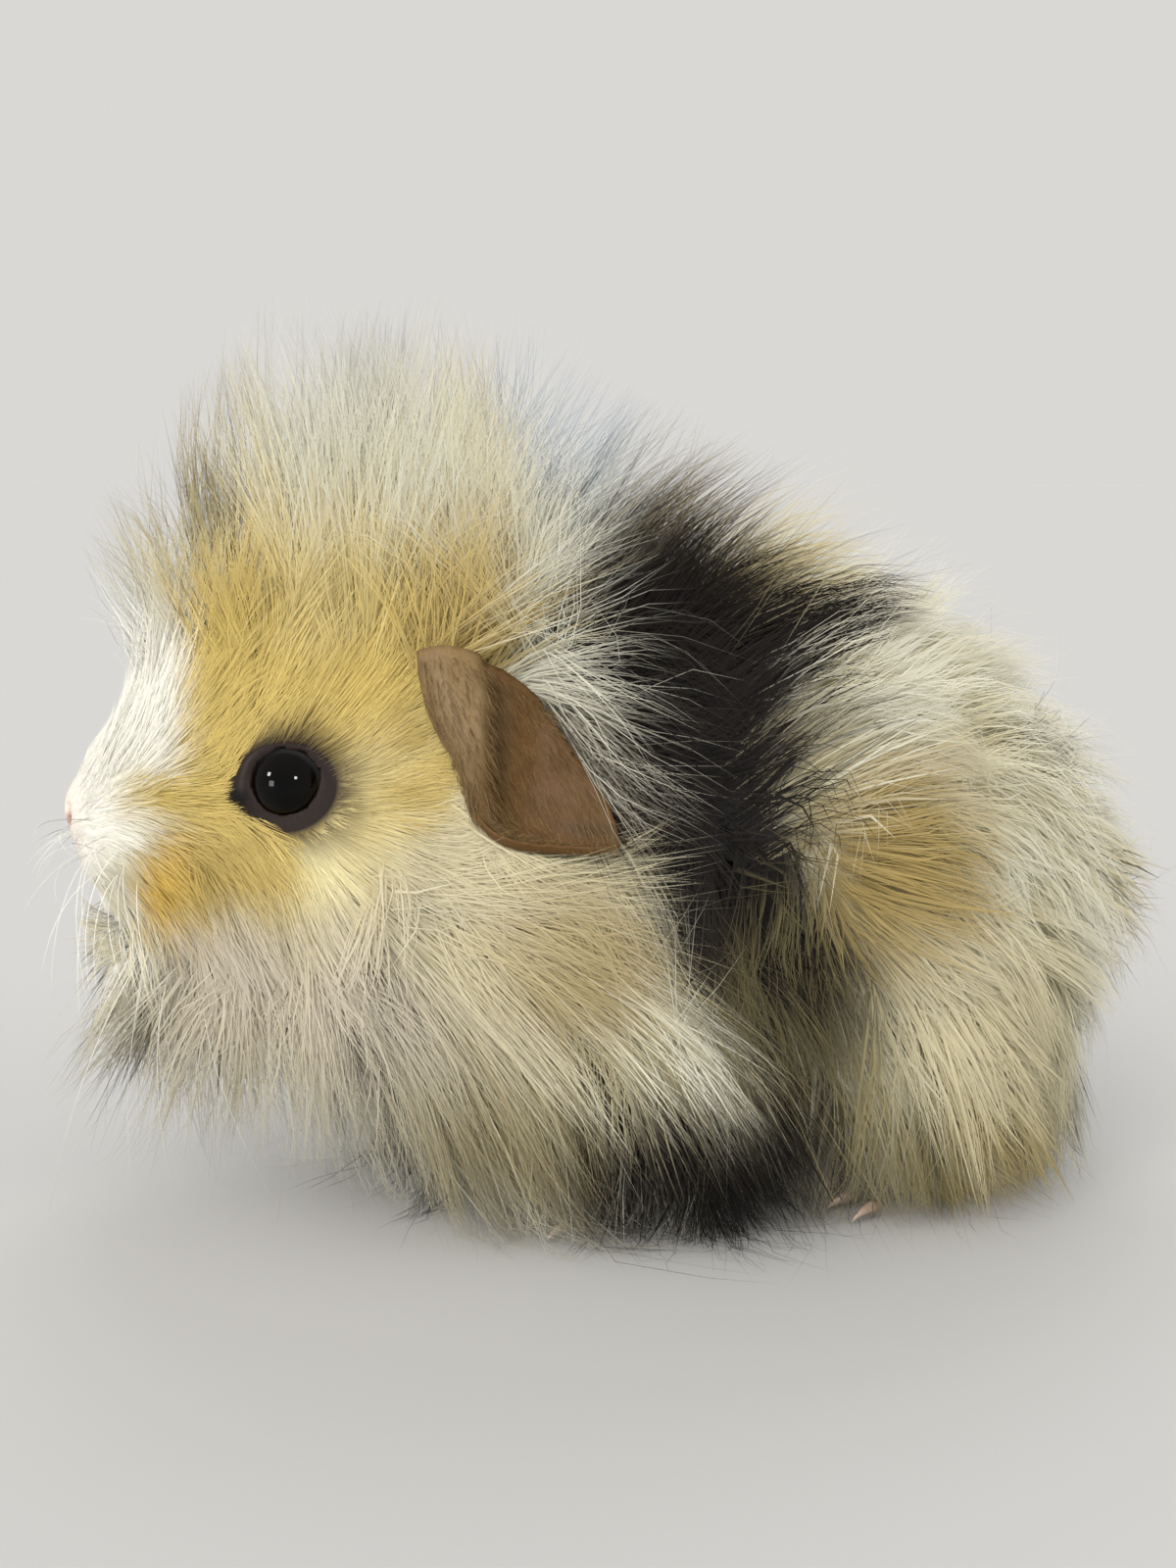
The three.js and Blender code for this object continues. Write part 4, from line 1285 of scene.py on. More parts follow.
# The loops and face sizes of count tufts, each with so many rings of three corners and a tip.
def tuftFaces(count, rings):
    quads, tris = [], [(2, 1, 0)]
    for r in range(rings - 1):
        for j in range(3):
            k = (j + 1) % 3
            quads.append((r * 3 + j, r * 3 + k, r * 3 + 3 + k, r * 3 + 3 + j))
    for j in range(3):
        tris.append(((rings - 1) * 3 + j, (rings - 1) * 3 + (j + 1) % 3, rings * 3))
    pattern = np.array([i for q in quads for i in q] + [i for q in tris for i in q])
    sizes = np.array([4] * len(quads) + [3] * len(tris))
    loops = (pattern[None] + (np.arange(count) * (rings * 3 + 1))[:, None]).ravel()
    return loops, np.tile(sizes, count)


def tuftMesh(name, path, width, thick, tones, randoms):
    count, points = path.shape[:2]
    rings = points - 1
    perTuft = rings * 3 + 1
    t = np.linspace(0, 1, points)
    way = unit(np.gradient(path, axis=1))
    normal = fleshBox.slope(path.reshape(-1, 3)).reshape(path.shape)
    aside = unit(np.cross(way, normal))
    above = np.cross(aside, way)
    rootWidth = tuft["rootWidth"]
    swell = rootWidth + (1 - rootWidth) * np.clip(t / tuft["rootLength"], 0, 1)
    swell = np.clip(1.0 - t ** tuft["taper"], 0, 1) * swell
    radius = (width[:, None] * 0.5 * swell[None])[..., None]
    corners = []
    for x, y in tuft["corners"]:
        corners.append(path + radius * (aside * x + above * y * thick[:, None, None]))
    sides = np.stack(corners, axis=2)[:, :rings]  # tufts, rings, corners, xyz
    vertices = np.concatenate([sides.reshape(count, rings * 3, 3), path[:, -1:]], axis=1)
    loops, totals = tuftFaces(count, rings)
    mesh = bpy.data.meshes.new(name)
    mesh.vertices.add(count * perTuft)
    mesh.vertices.foreach_set("co", (vertices * mm).astype(np.float32).ravel())
    mesh.loops.add(len(loops))
    mesh.loops.foreach_set("vertex_index", loops.astype(np.int32))
    mesh.polygons.add(len(totals))
    starts = np.concatenate([[0], np.cumsum(totals)[:-1]])
    mesh.polygons.foreach_set("loop_start", starts.astype(np.int32))
    mesh.polygons.foreach_set("loop_total", totals.astype(np.int32))
    mesh.update(calc_edges=True)
    mesh.shade_smooth()
    soft = unit(normal + tuft["coatLean"] * coatBox.slope(path.reshape(-1, 3)).reshape(path.shape))
    soft = soft - tuft["flatten"] * np.sum(soft * way, axis=2, keepdims=True) * way
    edge = tuft["edge"] * above
    own = np.stack([aside - edge, -aside - edge, above], axis=2)[:, :rings]
    turnedOut = unit(tuft["ownShare"] * unit(own) + tuft["softShare"] * soft[:, :rings, None])
    tipOut = unit(soft[:, -1:] + tuft["tip"] * above[:, -1:])
    normals = np.concatenate([turnedOut.reshape(count, rings * 3, 3), tipOut], axis=1)
    mesh.normals_split_custom_set_from_vertices(normals.reshape(-1, 3).tolist())
    along = np.concatenate([np.repeat(t[:rings], 3), [1.0]])
    strand = np.empty((count, perTuft, 3))
    strand[..., 0] = along[None]
    strand[..., 1] = randoms[:, 0:1]
    strand[..., 2] = randoms[:, 1:2]
    keepVectors(mesh, "strand", strand.reshape(-1, 3))
    for label, tone in zip(("rootTone", "tipTone"), tones):
        keepVectors(mesh, label, np.repeat(tone, perTuft, axis=0))
    # the hair's roots are darker round the eye's rim
    local = toSpace(head, path[:, 0])
    onRim = np.clip((tuft["rimWide"] - aroundEye(local, "shaded")) * 2, 0, 1)
    onRim = onRim * (np.abs(local[:, 1]) > tuft["rimAside"])
    nearRoot = 1 - np.clip(along * tuft["rimFade"], 0, 1)
    shade = onRim[:, None, None] * nearRoot[None, :, None] * np.ones(3)
    keepVectors(mesh, "rimShade", shade.reshape(-1, 3))
    across = np.concatenate([np.tile((0.0, 0.5, 1.0), rings), [0.5]])
    places = np.repeat(unwrapped(path[:, 0])[:, None], perTuft, axis=1)
    places = places + tuft["patch"] * np.stack([across - 0.5, along - 0.5], -1)[None]
    writeBakeMap(mesh, places.reshape(-1, 2))
    piece = bpy.data.objects.new(name, mesh)
    bpy.context.scene.collection.objects.link(piece)
    return piece


# The coat's colours, linear, and the places they fill.
white = (0.73, 0.72, 0.61)
blazeWhite = (0.97, 0.965, 0.89)
cream = (0.66, 0.605, 0.41)
shadedCream = (0.55, 0.50, 0.34)
paleGold = (0.68, 0.57, 0.27)
stripe = (0.94, 0.86, 0.52)
gold = (0.66, 0.51, 0.17)
deepGold = (0.68, 0.46, 0.11)
goldBrown = (0.40, 0.30, 0.115)
wispGold = (0.62, 0.53, 0.30)
paleWisp = (0.78, 0.71, 0.50)
# greyer cream for under the jaw: painted shade
shadedRuffGrey = (0.66, 0.60, 0.49)
fringeGold = (0.50, 0.40, 0.16)
fringeTip = (0.37, 0.31, 0.155)
black = (0.012, 0.010, 0.009)
darkBrown = (0.06, 0.042, 0.026)
olive = (0.115, 0.098, 0.045)
# bluish pale tips: painted sheen on black hair
blueSheen = (0.36, 0.42, 0.50)
crestWhite = (0.65, 0.65, 0.56)
shadedGold = (0.55, 0.42, 0.145)
ruffCream = (0.62, 0.57, 0.44)
ruffGold = (0.48, 0.40, 0.22)
ruffShade = (0.34, 0.29, 0.17)
tickedBrown = (0.22, 0.17, 0.075)
# gold-brown hair at the hem, darkened further as painted shade low on the body
shadedHemBrown = (0.20, 0.145, 0.055)
shadedHemGold = (0.40, 0.33, 0.15)

# Each patch: space, middle, half sizes, colour at the roots, colour at the tips, edge softness.
markings = [
    # face
    (head, (-4, 14, 8), (21, 14, 26), gold, gold, 0.25),
    (head, (-4, -14, 8), (21, 14, 26), gold, gold, 0.25),
    (head, (14, 14, -14), (6, 8, 6.5), deepGold, deepGold, 0.5),
    (head, (6, 14, -11.5), (7, 8, 6.5), shadedGold, shadedGold, 0.5),
    (head, (7, 14, 28), (9, 10, 8), shadedGold, shadedGold, 0.5),
    (head, (-4, 14, 19), (7, 8, 5), paleGold, paleGold, 0.6),
    (head, (-12, 18, -1), (8, 8, 9), paleGold, shadedGold, 0.4),
    (head, (-5, 16, -14), (3.8, 8, 9), stripe, stripe, 0.5),
    (head, (25, 0, 5), (17, 21, 17), blazeWhite, blazeWhite, 0.13),
    (head, (13, 12, -2.5), (6, 7, 3.2), gold, gold, 0.5),
    (head, (22.5, 0, -9), (6, 7.5, 8), blazeWhite, blazeWhite, 0.2),
    (head, (4, 0, -29), (26, 26, 12), ruffCream, ruffCream, 0.2),
    (head, (-24, 22, -8), (16, 12, 5), cream, cream, 0.4),
    (head, (-20, 22, -20), (24, 16, 9.5), cream, ruffCream, 0.3),
    # greyer cream under the jaw and cheeks: painted shade under the head
    (head, (-8, 20, -24), (8, 12, 7), shadedRuffGrey, shadedRuffGrey, 0.5),
    (head, (8, 14, -22), (9, 10, 6), shadedRuffGrey, shadedRuffGrey, 0.5),
    (head, (24, 4, -20), (8, 12, 9), blazeWhite, paleWisp, 0.5),
    (head, (-31, 28, -18), (9, 12, 8), ruffGold, ruffGold, 0.5),
    (head, (-24, 24, -38), (17, 19, 9), olive, ruffShade, 0.4),
    # crest
    (head, (-12, 0, 42), (23, 26, 15), cream, cream, 0.3),
    (head, (15, 0, 38), (10, 20, 15), fringeGold, fringeTip, 0.35),
    (head, (-8, 0, 53), (12, 24, 18), crestWhite, crestWhite, 0.4),
    (head, (-3, 12, 34), (8, 12, 8), crestWhite, crestWhite, 0.6),
    (head, (-15, 14, 32), (7, 10, 6), crestWhite, crestWhite, 0.6),
    (head, (-20, 15, 20), (8, 11, 8), goldBrown, shadedGold, 0.5),
    (head, (-31, 14, 28), (5, 22, 24), crestWhite, crestWhite, 0.25),
    (head, (-33, 19, 2), (7, 9, 7.5), darkBrown, darkBrown, 0.4),
    # shoulders, both sides
    (body, (6, 18, 68), (12.5, 28, 15), black, black, 0.15),
    (body, (10, 24, 52), (8, 28, 14), black, black, 0.2),
    (body, (6, -20, 60), (15, 24, 30), black, black, 0.15),
    (body, (6, 34, 46), (11, 16, 20), black, black, 0.2),
    (body, (-3, 42, 26), (12, 16, 22), black, olive, 0.25),
    (body, (8, 36, 9), (19, 18, 9), black, black, 0.2),
    # bluish pale tips on the black at the top of the shoulders: painted sheen
    (body, (13, 4, 91), (11, 20, 10), black, blueSheen, 0.25),
    (body, (1, 14, 83), (7, 20, 6), darkBrown, tickedBrown, 0.4),
    (body, (-8, 20, 77), (6, 20, 6), goldBrown, wispGold, 0.5),
    (body, (-5, 40, 60), (5, 12, 8), darkBrown, olive, 0.5),
    # trunk
    (body, (-15, 40, 42), (9.5, 14, 14), goldBrown, goldBrown, 0.35),
    (body, (-25, 40, 52), (8, 12, 10), cream, shadedCream, 0.5),
    (body, (-28, 38, 22), (16, 16, 12), cream, shadedCream, 0.6),
    (body, (-14, -38, 52), (16, 14, 16), goldBrown, gold, 0.4),
    (body, (-52, 26, 34), (5, 10, 10), gold, paleGold, 0.5),
    # the hem: the hair's own gold-brown, darkened further as painted shade low on the body
    (body, (-8, 44, 8), (5.5, 14, 10), shadedHemBrown, shadedHemGold, 0.4),
    (body, (-26, 42, 3), (20, 24, 12), shadedHemBrown, shadedHemGold, 0.5),
    (body, (26, -26, 30), (10, 14, 16), gold, paleGold, 0.4),
]
coatStart = (cream, white)


# How the markings' edges wander: size of the wave, and how far it carries.
raggedEdges = ((6.0, 1.5), (2.2, 0.6))


# The markings at these places: the hair's colour at its root and at its tip.
def markedTones(points):
    (wide, far), (narrow, near) = raggedEdges
    place = points + (far * wander(points, wide) + near * wander(points, narrow))
    atRoot, atTip = (np.tile(tone, (len(points), 1)) for tone in coatStart)
    for space, at, size, rootTone, tipTone, soft in markings:
        reach = np.linalg.norm((toSpace(space, place) - at) / size, axis=1)
        inside = np.clip((1 + soft - reach) / (2 * soft), 0, 1)
        inside = (inside * inside * (3 - 2 * inside))[:, None]
        atRoot = atRoot + (np.array(rootTone) - atRoot) * inside
        atTip = atTip + (np.array(tipTone) - atTip) * inside
    return atRoot, atTip


for label, tone in zip(("rootTone", "tipTone"), markedTones(allPoints)):
    keepVectors(skin.data, label, tone)

quickShare = 1.0
# How far tufts may reach beyond the coat, and how their colour and width differ.
finish = {
    "farthest": 5.2,
    "flyaways": 0.07,
    "laidReach": 1.0,
    "flyawayReach": 4,
    "looseReach": 7,
    "underReach": -4,
    "underLeast": -3,
    "reachSpread": 0.9,
    "standing": 0.4,  # a tuft that stands more than this has its region's own reach too
    "leastHeight": 0.4,
    "leastLength": 0.8,
    "rootBlur": 0.7,
    "tipBlur": 1.0,
    "tipAlong": 0.7,
    "width": (0.7, 0.6),
    "flyawayWidth": 0.5,
    "shortWidth": {"base": 0.45, "length": 9, "least": 0.55},
    "thick": 0.75,
    "lockLight": 1.7,
}


def coatRegion(regionIndex, regionName):
    settings = regions[regionName]
    count = int(settings["tufts"] * quickShare)
    roots = rootsFor(regionIndex, count)
    locks = [gathered(roots, int(max(lock[0] * quickShare, 2))) for lock in settings["locks"]]
    flyaway = random.random(count) < (0.0 if regionName in ("face", "legs") else finish["flyaways"])
    under = (random.random(count) < settings["under"]) & ~flyaway
    path, stand, loose = strandPaths(roots, settings, flyaway, under, locks)
    allowed = np.where(flyaway, finish["flyawayReach"], finish["laidReach"])
    allowed = allowed + finish["looseReach"] * loose
    allowed = allowed + settings["beyond"] * (stand > finish["standing"]) + finish["underReach"] * under
    allowed = allowed + random.normal(size=count) * finish["reachSpread"]
    allowed = np.clip(allowed, finish["underLeast"] * under, finish["farthest"])
    path = shortened(path, keptShare(path, allowed))
    path = drawnTogether(path, settings, flyaway, locks)
    path = waved(path, settings)
    path = shortened(path, clearOfEyesAndEars(path))
    path = shortened(path, keptShare(path, np.full(count, finish["farthest"])))
    path[..., 2] = np.maximum(path[..., 2], finish["leastHeight"])
    long = np.linalg.norm(path[:, -1] - path[:, 0], axis=1)
    kept = long > finish["leastLength"]
    path, long, flyaway, loose, under = (each[kept] for each in (path, long, flyaway, loose, under))
    count = len(path)
    rootPlace = path[:, 1] + random.normal(size=(count, 3)) * finish["rootBlur"]
    tipPlace = shortened(path, np.full(count, finish["tipAlong"]))[:, -1]
    tipPlace = tipPlace + random.normal(size=(count, 3)) * finish["tipBlur"]
    tipPlace[loose] = rootPlace[loose]
    tones = markedTones(rootPlace)[0], markedTones(tipPlace)[1]
    least, more = finish["width"]
    width = settings["width"] * (least + more * random.random(count)) / math.sqrt(quickShare)
    width[flyaway] *= finish["flyawayWidth"]
    short = finish["shortWidth"]
    width *= np.clip(short["base"] + long / short["length"], short["least"], 1)
    width[under] *= down["width"] / settings["width"]
    thick = np.where(under, down["thick"], finish["thick"])
    lockLight = np.clip(0.5 + 0.5 * wander(path[:, 0], finish["lockLight"])[:, 1], 0, 1)
    randoms = np.stack([random.random(count), lockLight], -1)
    randoms[under] = 0.5
    space = head if regionName in ("face", "crest", "ruff") else body
    onLeft = toSpace(space, path[:, 0])[:, 1] >= 0
    parts = {"_left": onLeft, "_right": ~onLeft} if settings["split"] else {"": np.ones(count, bool)}
    pieces = []
    for suffix, chosen in parts.items():
        piece = tuftMesh("coat_" + regionName + suffix, path[chosen], width[chosen], thick[chosen],
                         [tone[chosen] for tone in tones], randoms[chosen])
        triangleCount = sum(len(p.vertices) - 2 for p in piece.data.polygons)
        print(piece.name, int(chosen.sum()), "tufts", triangleCount, "triangles")
        pieces.append(piece)
    return pieces


coatPieces = []
for regionIndex, regionName in enumerate(regionNames):
    coatPieces += coatRegion(regionIndex, regionName)

# Fine short hair on the ears, lying towards the rim.
earHair = {
    "tufts": 2600,
    "length": 2.0,
    "lengths": (0.6, 0.7),
    "width": 0.065,
    "lift": 0.16,
    "rootBlur": 0.1,
    "wayBlur": 0.15,
    "backward": -0.25,
    "middleLift": 0.2,
    "endLift": 2.2,
    "endBlur": 0.1,
    "tones": ((0.085, 0.045, 0.014), (0.23, 0.15, 0.06)),
}


def earHairPaths():
    found = []
    for side in (1, -1):
        sheet = earSheet()
        normal = unit(np.cross(np.gradient(sheet, axis=0), np.gradient(sheet, axis=1)))
        downward = unit(np.gradient(sheet, axis=0))
        count = int(earHair["tufts"] * quickShare)
        i = random.integers(2, sheet.shape[0] - 4, size=count)
        j = random.integers(1, sheet.shape[1] - 1, size=count)
        out = normal[i, j]
        start = sheet[i, j] + out * ear["thick"] * 0.5
        start = start + random.normal(size=(count, 3)) * earHair["rootBlur"]
        way = downward[i, j] + earHair["wayBlur"] * random.normal(size=(count, 3))
        way = unit(way + (earHair["backward"], 0, 0))
        least, more = earHair["lengths"]
        long = (earHair["length"] * (least + more * random.random(count)))[:, None]
        middle = start + way * long / 2 + out * (earHair["lift"] + earHair["middleLift"])
        raised = earHair["endLift"] * earHair["lift"] + earHair["endBlur"] * random.random((count, 1))
        end = start + way * long + out * raised
        found.append(toWorld(head, np.stack([start, middle, end], axis=1) * np.array((1, side, 1))))
    return np.concatenate(found)



# Tufts of one width, each with the same tone at its root and the same at its tip.
def plainTufts(name, path, width, tones):
    count = len(path)
    tones = [np.tile(tone, (count, 1)) for tone in tones]
    thick = np.full(count, finish["thick"])
    return tuftMesh(name, path, np.full(count, width), thick, tones, random.random((count, 2)))


earCoat = plainTufts("coat_ears", earHairPaths(), earHair["width"], earHair["tones"])

# Whiskers and the long chin hairs, each a fine tapering curve.
whiskers = {
    "width": 0.115,
    "steps": 9,
    "beyond": 6.5,
    "startBlur": 0.9,
    "wayBlur": 0.2,
    "backward": -0.35,
    "bendBlur": 0.1,
    "lengths": (0.75, 0.4),
    "leastHeight": 0.5,
    "rows": [  # start, way, length, droop, how many
        ((21, 4.6, -6.5), (0.55, 0.95, -0.05), 20, 0.15, 7),
        ((20, 5.2, -8.5), (0.45, 0.95, -0.35), 22, 0.3, 7),
        ((18, 5.6, -10.5), (0.2, 0.9, -0.7), 17, 0.35, 5),
        ((24.4, 1.8, -7.6), (1.0, 0.25, -0.25), 9, 0.3, 5),
        ((15, 3.5, -19), (0.35, 0.2, -1.0), 27, 0.15, 8),
        ((10, 4.5, -21), (0.3, 0.15, -1.0), 24, 0.1, 6),
    ],
}


def whiskerPaths():
    found = []
    t = np.linspace(0, 1, whiskers["steps"] + 1)[:, None]
    for at, way, long, droop, count in whiskers["rows"]:
        for side in (1, -1):
            for _ in range(count):
                start = np.multiply(at, (1, side, 1)) + random.normal(size=3) * whiskers["startBlur"]
                ahead = np.multiply(way, (1, side, 1)) + random.normal(size=3) * whiskers["wayBlur"]
                ahead = unit(ahead)
                bend = np.array((whiskers["backward"], 0, -droop)) * long
                bend = bend + random.normal(size=3) * long * whiskers["bendBlur"]
                least, more = whiskers["lengths"]
                reach = long * (least + more * random.random())
                found.append(toWorld(head, start + ahead * reach * t + bend * t ** 2))
    found = np.array(found)
    roots = found[:, 0]
    sink = fleshBox.at(roots)[:, None] * fleshBox.slope(roots)
    found = found - sink[:, None]
    found[..., 2] = np.maximum(found[..., 2], whiskers["leastHeight"])
    low = np.array(cadBox[0]) / mm - whiskers["beyond"]
    high = np.array(cadBox[1]) / mm + whiskers["beyond"]
    inside = np.all((found > low) & (found < high), axis=2)
    steps = np.cumprod(inside, axis=1).sum(axis=1) - 1
    return shortened(found, np.clip(steps / whiskers["steps"], 0.1, 1))


coatPieces.append(plainTufts("whiskers", whiskerPaths(), whiskers["width"], (blazeWhite, blazeWhite)))
coatPieces.append(earCoat)
for piece in coatPieces:
    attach(piece, "root")


def newGroup(name, inputs, outputs):
    group = bpy.data.node_groups.new(name, "ShaderNodeTree")
    for label, kind, value in inputs:
        socket = group.interface.new_socket(label, in_out="INPUT", socket_type=kind)
        if value is not None:
            socket.default_value = value
    for label, kind in outputs:
        group.interface.new_socket(label, in_out="OUTPUT", socket_type=kind)
    return group, group.nodes.new("NodeGroupInput"), group.nodes.new("NodeGroupOutput")


def addNode(tree, kind, links=(), **values):
    node = tree.nodes.new(kind)
    for key, value in values.items():
        setattr(node, key, value)
    for socket, source in links:
        if isinstance(source, bpy.types.NodeSocket):
            tree.links.new(source, node.inputs[socket])
        else:
            node.inputs[socket].default_value = source
    return node


def mixed(tree, factor, a, b):
    node = addNode(tree, "ShaderNodeMix", data_type="RGBA")
    for socket, source in ((0, factor), (6, a), (7, b)):
        if isinstance(source, bpy.types.NodeSocket):
            tree.links.new(source, node.inputs[socket])
        else:
            node.inputs[socket].default_value = source if socket == 0 else (*source, 1)
    return node.outputs[2]


def mapped(tree, value, least, most, low=0.0, high=1.0):
    return addNode(tree, "ShaderNodeMapRange",
                   [(0, value), (1, low), (2, high), (3, least), (4, most)]).outputs[0]


def product(tree, a, b):
    return addNode(tree, "ShaderNodeMath", [(0, a), (1, b)], operation="MULTIPLY").outputs[0]


def scaled(tree, colour, amount):
    links = [(0, colour), ("Scale", amount)]
    return addNode(tree, "ShaderNodeVectorMath", links, operation="SCALE").outputs[0]


def separated(tree, name):
    return addNode(tree, "ShaderNodeSeparateXYZ", [(0, attribute(tree, name))]).outputs


def attribute(tree, name):
    return addNode(tree, "ShaderNodeAttribute", attribute_name=name).outputs["Vector"]


def grainAt(tree, place, scale, detail):
    return addNode(tree, "ShaderNodeTexNoise",
                   [("Vector", place), ("Scale", scale), ("Detail", detail)]).outputs["Fac"]


# How far out a place lies in a rounded patch of a space: 1 on its edge.
def patchReach(tree, place, space, at, size):
    turn = Matrix(space["axes"].tolist()).transposed().to_euler()
    mapping = addNode(tree, "ShaderNodeMapping", [
        ("Vector", place), ("Location", Vector(toWorld(space, at))),
        ("Rotation", turn), ("Scale", Vector(size))], vector_type="TEXTURE")
    links = [(0, mapping.outputs[0])]
    return addNode(tree, "ShaderNodeVectorMath", links, operation="LENGTH").outputs["Value"]


# The colour of hair from its markings: from root to tip, and lighter or darker from hair to hair.
def makeHairTone():
    group, given, result = newGroup("hairTone", [
        ("Root Tone", "NodeSocketColor", None), ("Tip Tone", "NodeSocketColor", None),
        ("Along", "NodeSocketFloat", 0.3), ("Light", "NodeSocketFloat", 1.0),
    ], [("Color", "NodeSocketColor")])
    tipward = addNode(group, "ShaderNodeMapRange", [(0, given.outputs["Along"]), (1, 0.25), (2, 0.8)],
                      interpolation_type="SMOOTHSTEP")
    tone = mixed(group, tipward.outputs[0], given.outputs["Root Tone"], given.outputs["Tip Tone"])
    group.links.new(scaled(group, tone, given.outputs["Light"]), result.inputs["Color"])
    return group


hairTone = makeHairTone()


def newMaterial(name, **values):
    material = bpy.data.materials.new(name)
    material.use_nodes = True
    tree = material.node_tree
    shader = tree.nodes["Principled BSDF"]
    for label, value in values.items():
        shader.inputs[label.replace("_", " ")].default_value = value
    return material, tree, shader


# The coat's tones along a strand, as the hairTone group gives them.
def markedColour(tree, along, light):
    return addNode(tree, "ShaderNodeGroup", [
        ("Root Tone", attribute(tree, "rootTone")), ("Tip Tone", attribute(tree, "tipTone")),
        ("Along", along), ("Light", light)], node_tree=hairTone).outputs[0]


# Each range is the least and the greatest lightness. The roots' range is painted shade deep in the coat,
# fading out halfway along the hair.
hairLight = {
    "hairs": (0.89, 1.06),
    "locks": (0.91, 1.05),
    "roots": (0.82, 1.0),
    "rootShadeEnd": 0.5,
    "shadow": 0.2,
}


def makeCoatMaterial():
    material, tree, shader = newMaterial("longHair", Roughness=0.62, Specular_IOR_Level=0.1,
                                          Sheen_Weight=0.03, Sheen_Roughness=0.4)
    along, hair, lock = separated(tree, "strand")
    light = mapped(tree, hair, *hairLight["hairs"])
    light = product(tree, light, mapped(tree, lock, *hairLight["locks"]))
    # painted shade: hair darker towards its roots, deep in the coat
    light = product(tree, light, mapped(tree, along, *hairLight["roots"], high=hairLight["rootShadeEnd"]))
    colour = markedColour(tree, along, light)
    rim = separated(tree, "rimShade")[0]
    tree.links.new(mixed(tree, rim, colour, darkBrown), shader.inputs["Base Color"])
    # hair lets some light through, so its shadows are soft
    shadowRay = addNode(tree, "ShaderNodeLightPath").outputs["Is Shadow Ray"]
    tree.links.new(mapped(tree, shadowRay, 1.0, hairLight["shadow"]), shader.inputs["Alpha"])
    return material


def makeEarHairMaterial():
    material, tree, shader = newMaterial("earDown", Roughness=0.6, Specular_IOR_Level=0.2)
    tone = mixed(tree, separated(tree, "strand")[1], *earHair["tones"])
    tree.links.new(tone, shader.inputs["Base Color"])
    return material


# Bare skin, painted over the coat's markings: space, middle, half sizes, colour, softness.
bareSkin = [
    (head, (25.4, 0, -5.8), (4.6, 5.6, 5.6), (0.88, 0.79, 0.72), 0.35),
    (head, (25.9, 2.5, -5.6), (2.0, 0.8, 1.1), (0.46, 0.29, 0.25), 0.3),
    (head, (25.9, -2.5, -5.6), (2.0, 0.8, 1.1), (0.46, 0.29, 0.25), 0.3),
    (head, (20.6, 0, -12.9), (6, 6, 1.4), (0.52, 0.28, 0.23), 0.4),
    (head, (0.2, 14, -0.3), (7.0, 8, 6.1), (0.018, 0.011, 0.009), 0.14),
    (head, (0.2, -14, -0.3), (7.0, 8, 6.1), (0.018, 0.011, 0.009), 0.14),
    (head, (5.6, 14, -1.3), (1.3, 4, 1.1), (0.002, 0.0015, 0.0015), 0.3),
    (head, (5.6, -14, -1.3), (1.3, 4, 1.1), (0.002, 0.0015, 0.0015), 0.3),
]


skinLook = {
    # the skin under the hair carries the coat's markings, darkened as painted shade deep in the coat
    "shadedUndercoat": {"along": 0.4, "light": 0.85},
    "feet": {"tone": (0.50, 0.32, 0.26), "height": (9.0, 4.0)},
    "ear": ((0.093, 0.046, 0.014), (0.15, 0.080, 0.028)),
    "earMottle": 0.35,
    # crease: a dark band in the ear's lower fold, painted shade
    "crease": {"at": (-32.5, 30, -3.2), "size": (4.8, 12, 1.1), "edge": (0.2, 1.1), "most": 0.5,
               "tone": (0.035, 0.02, 0.013)},
    "flap": {"at": (-17.5, 20, 9), "size": (5.2, 40, 11), "edge": (0.75, 1.15), "most": 1.0,
             "tone": (0.23, 0.155, 0.075)},
    "grain": {"scale": 2.2, "from": (0.3, 0.7), "light": (0.86, 1.1), "bump": 0.35, "deep": 0.00015},
}


# An ear's tone with one soft patch of another over it.
def earPatch(tree, place, tone, patch):
    reach = patchReach(tree, place, head, patch["at"], patch["size"])
    return mixed(tree, mapped(tree, reach, patch["most"], 0.0, *patch["edge"]), tone, patch["tone"])


def makeSkinMaterial():
    material, tree, shader = newMaterial("skinAndUndercoat", Roughness=0.5, Specular_IOR_Level=0.16,
                                          Subsurface_Weight=0.08, Subsurface_Scale=0.001)
    place = attribute(tree, "markPlace")
    onEar, _, height = separated(tree, "bare")
    # the coat's markings on the skin, darker as painted shade under the hair
    colour = markedColour(tree, skinLook["shadedUndercoat"]["along"], skinLook["shadedUndercoat"]["light"])
    feetMask = mapped(tree, height, 0.0, 1.0, *skinLook["feet"]["height"])
    colour = mixed(tree, feetMask, colour, skinLook["feet"]["tone"])
    for space, at, size, tone, soft in bareSkin:
        reach = patchReach(tree, place, space, at, size)
        colour = mixed(tree, mapped(tree, reach, 1.0, 0.0, 1 - soft, 1 + soft), colour, tone)
    mottle = grainAt(tree, place, skinLook["earMottle"], 4.0)
    earTone = mixed(tree, mottle, *skinLook["ear"])
    earTone = earPatch(tree, place, earTone, skinLook["flap"])
    # painted shade in the ear's fold
    earTone = earPatch(tree, place, earTone, skinLook["crease"])
    colour = mixed(tree, onEar, colour, earTone)
    fine = skinLook["grain"]
    grain = grainAt(tree, place, fine["scale"], 4.0)
    colour = scaled(tree, colour, mapped(tree, grain, *fine["light"], *fine["from"]))
    tree.links.new(colour, shader.inputs["Base Color"])
    bump = addNode(tree, "ShaderNodeBump", [
        ("Height", grain), ("Strength", fine["bump"]), ("Distance", fine["deep"])])
    tree.links.new(bump.outputs[0], shader.inputs["Normal"])
    return material


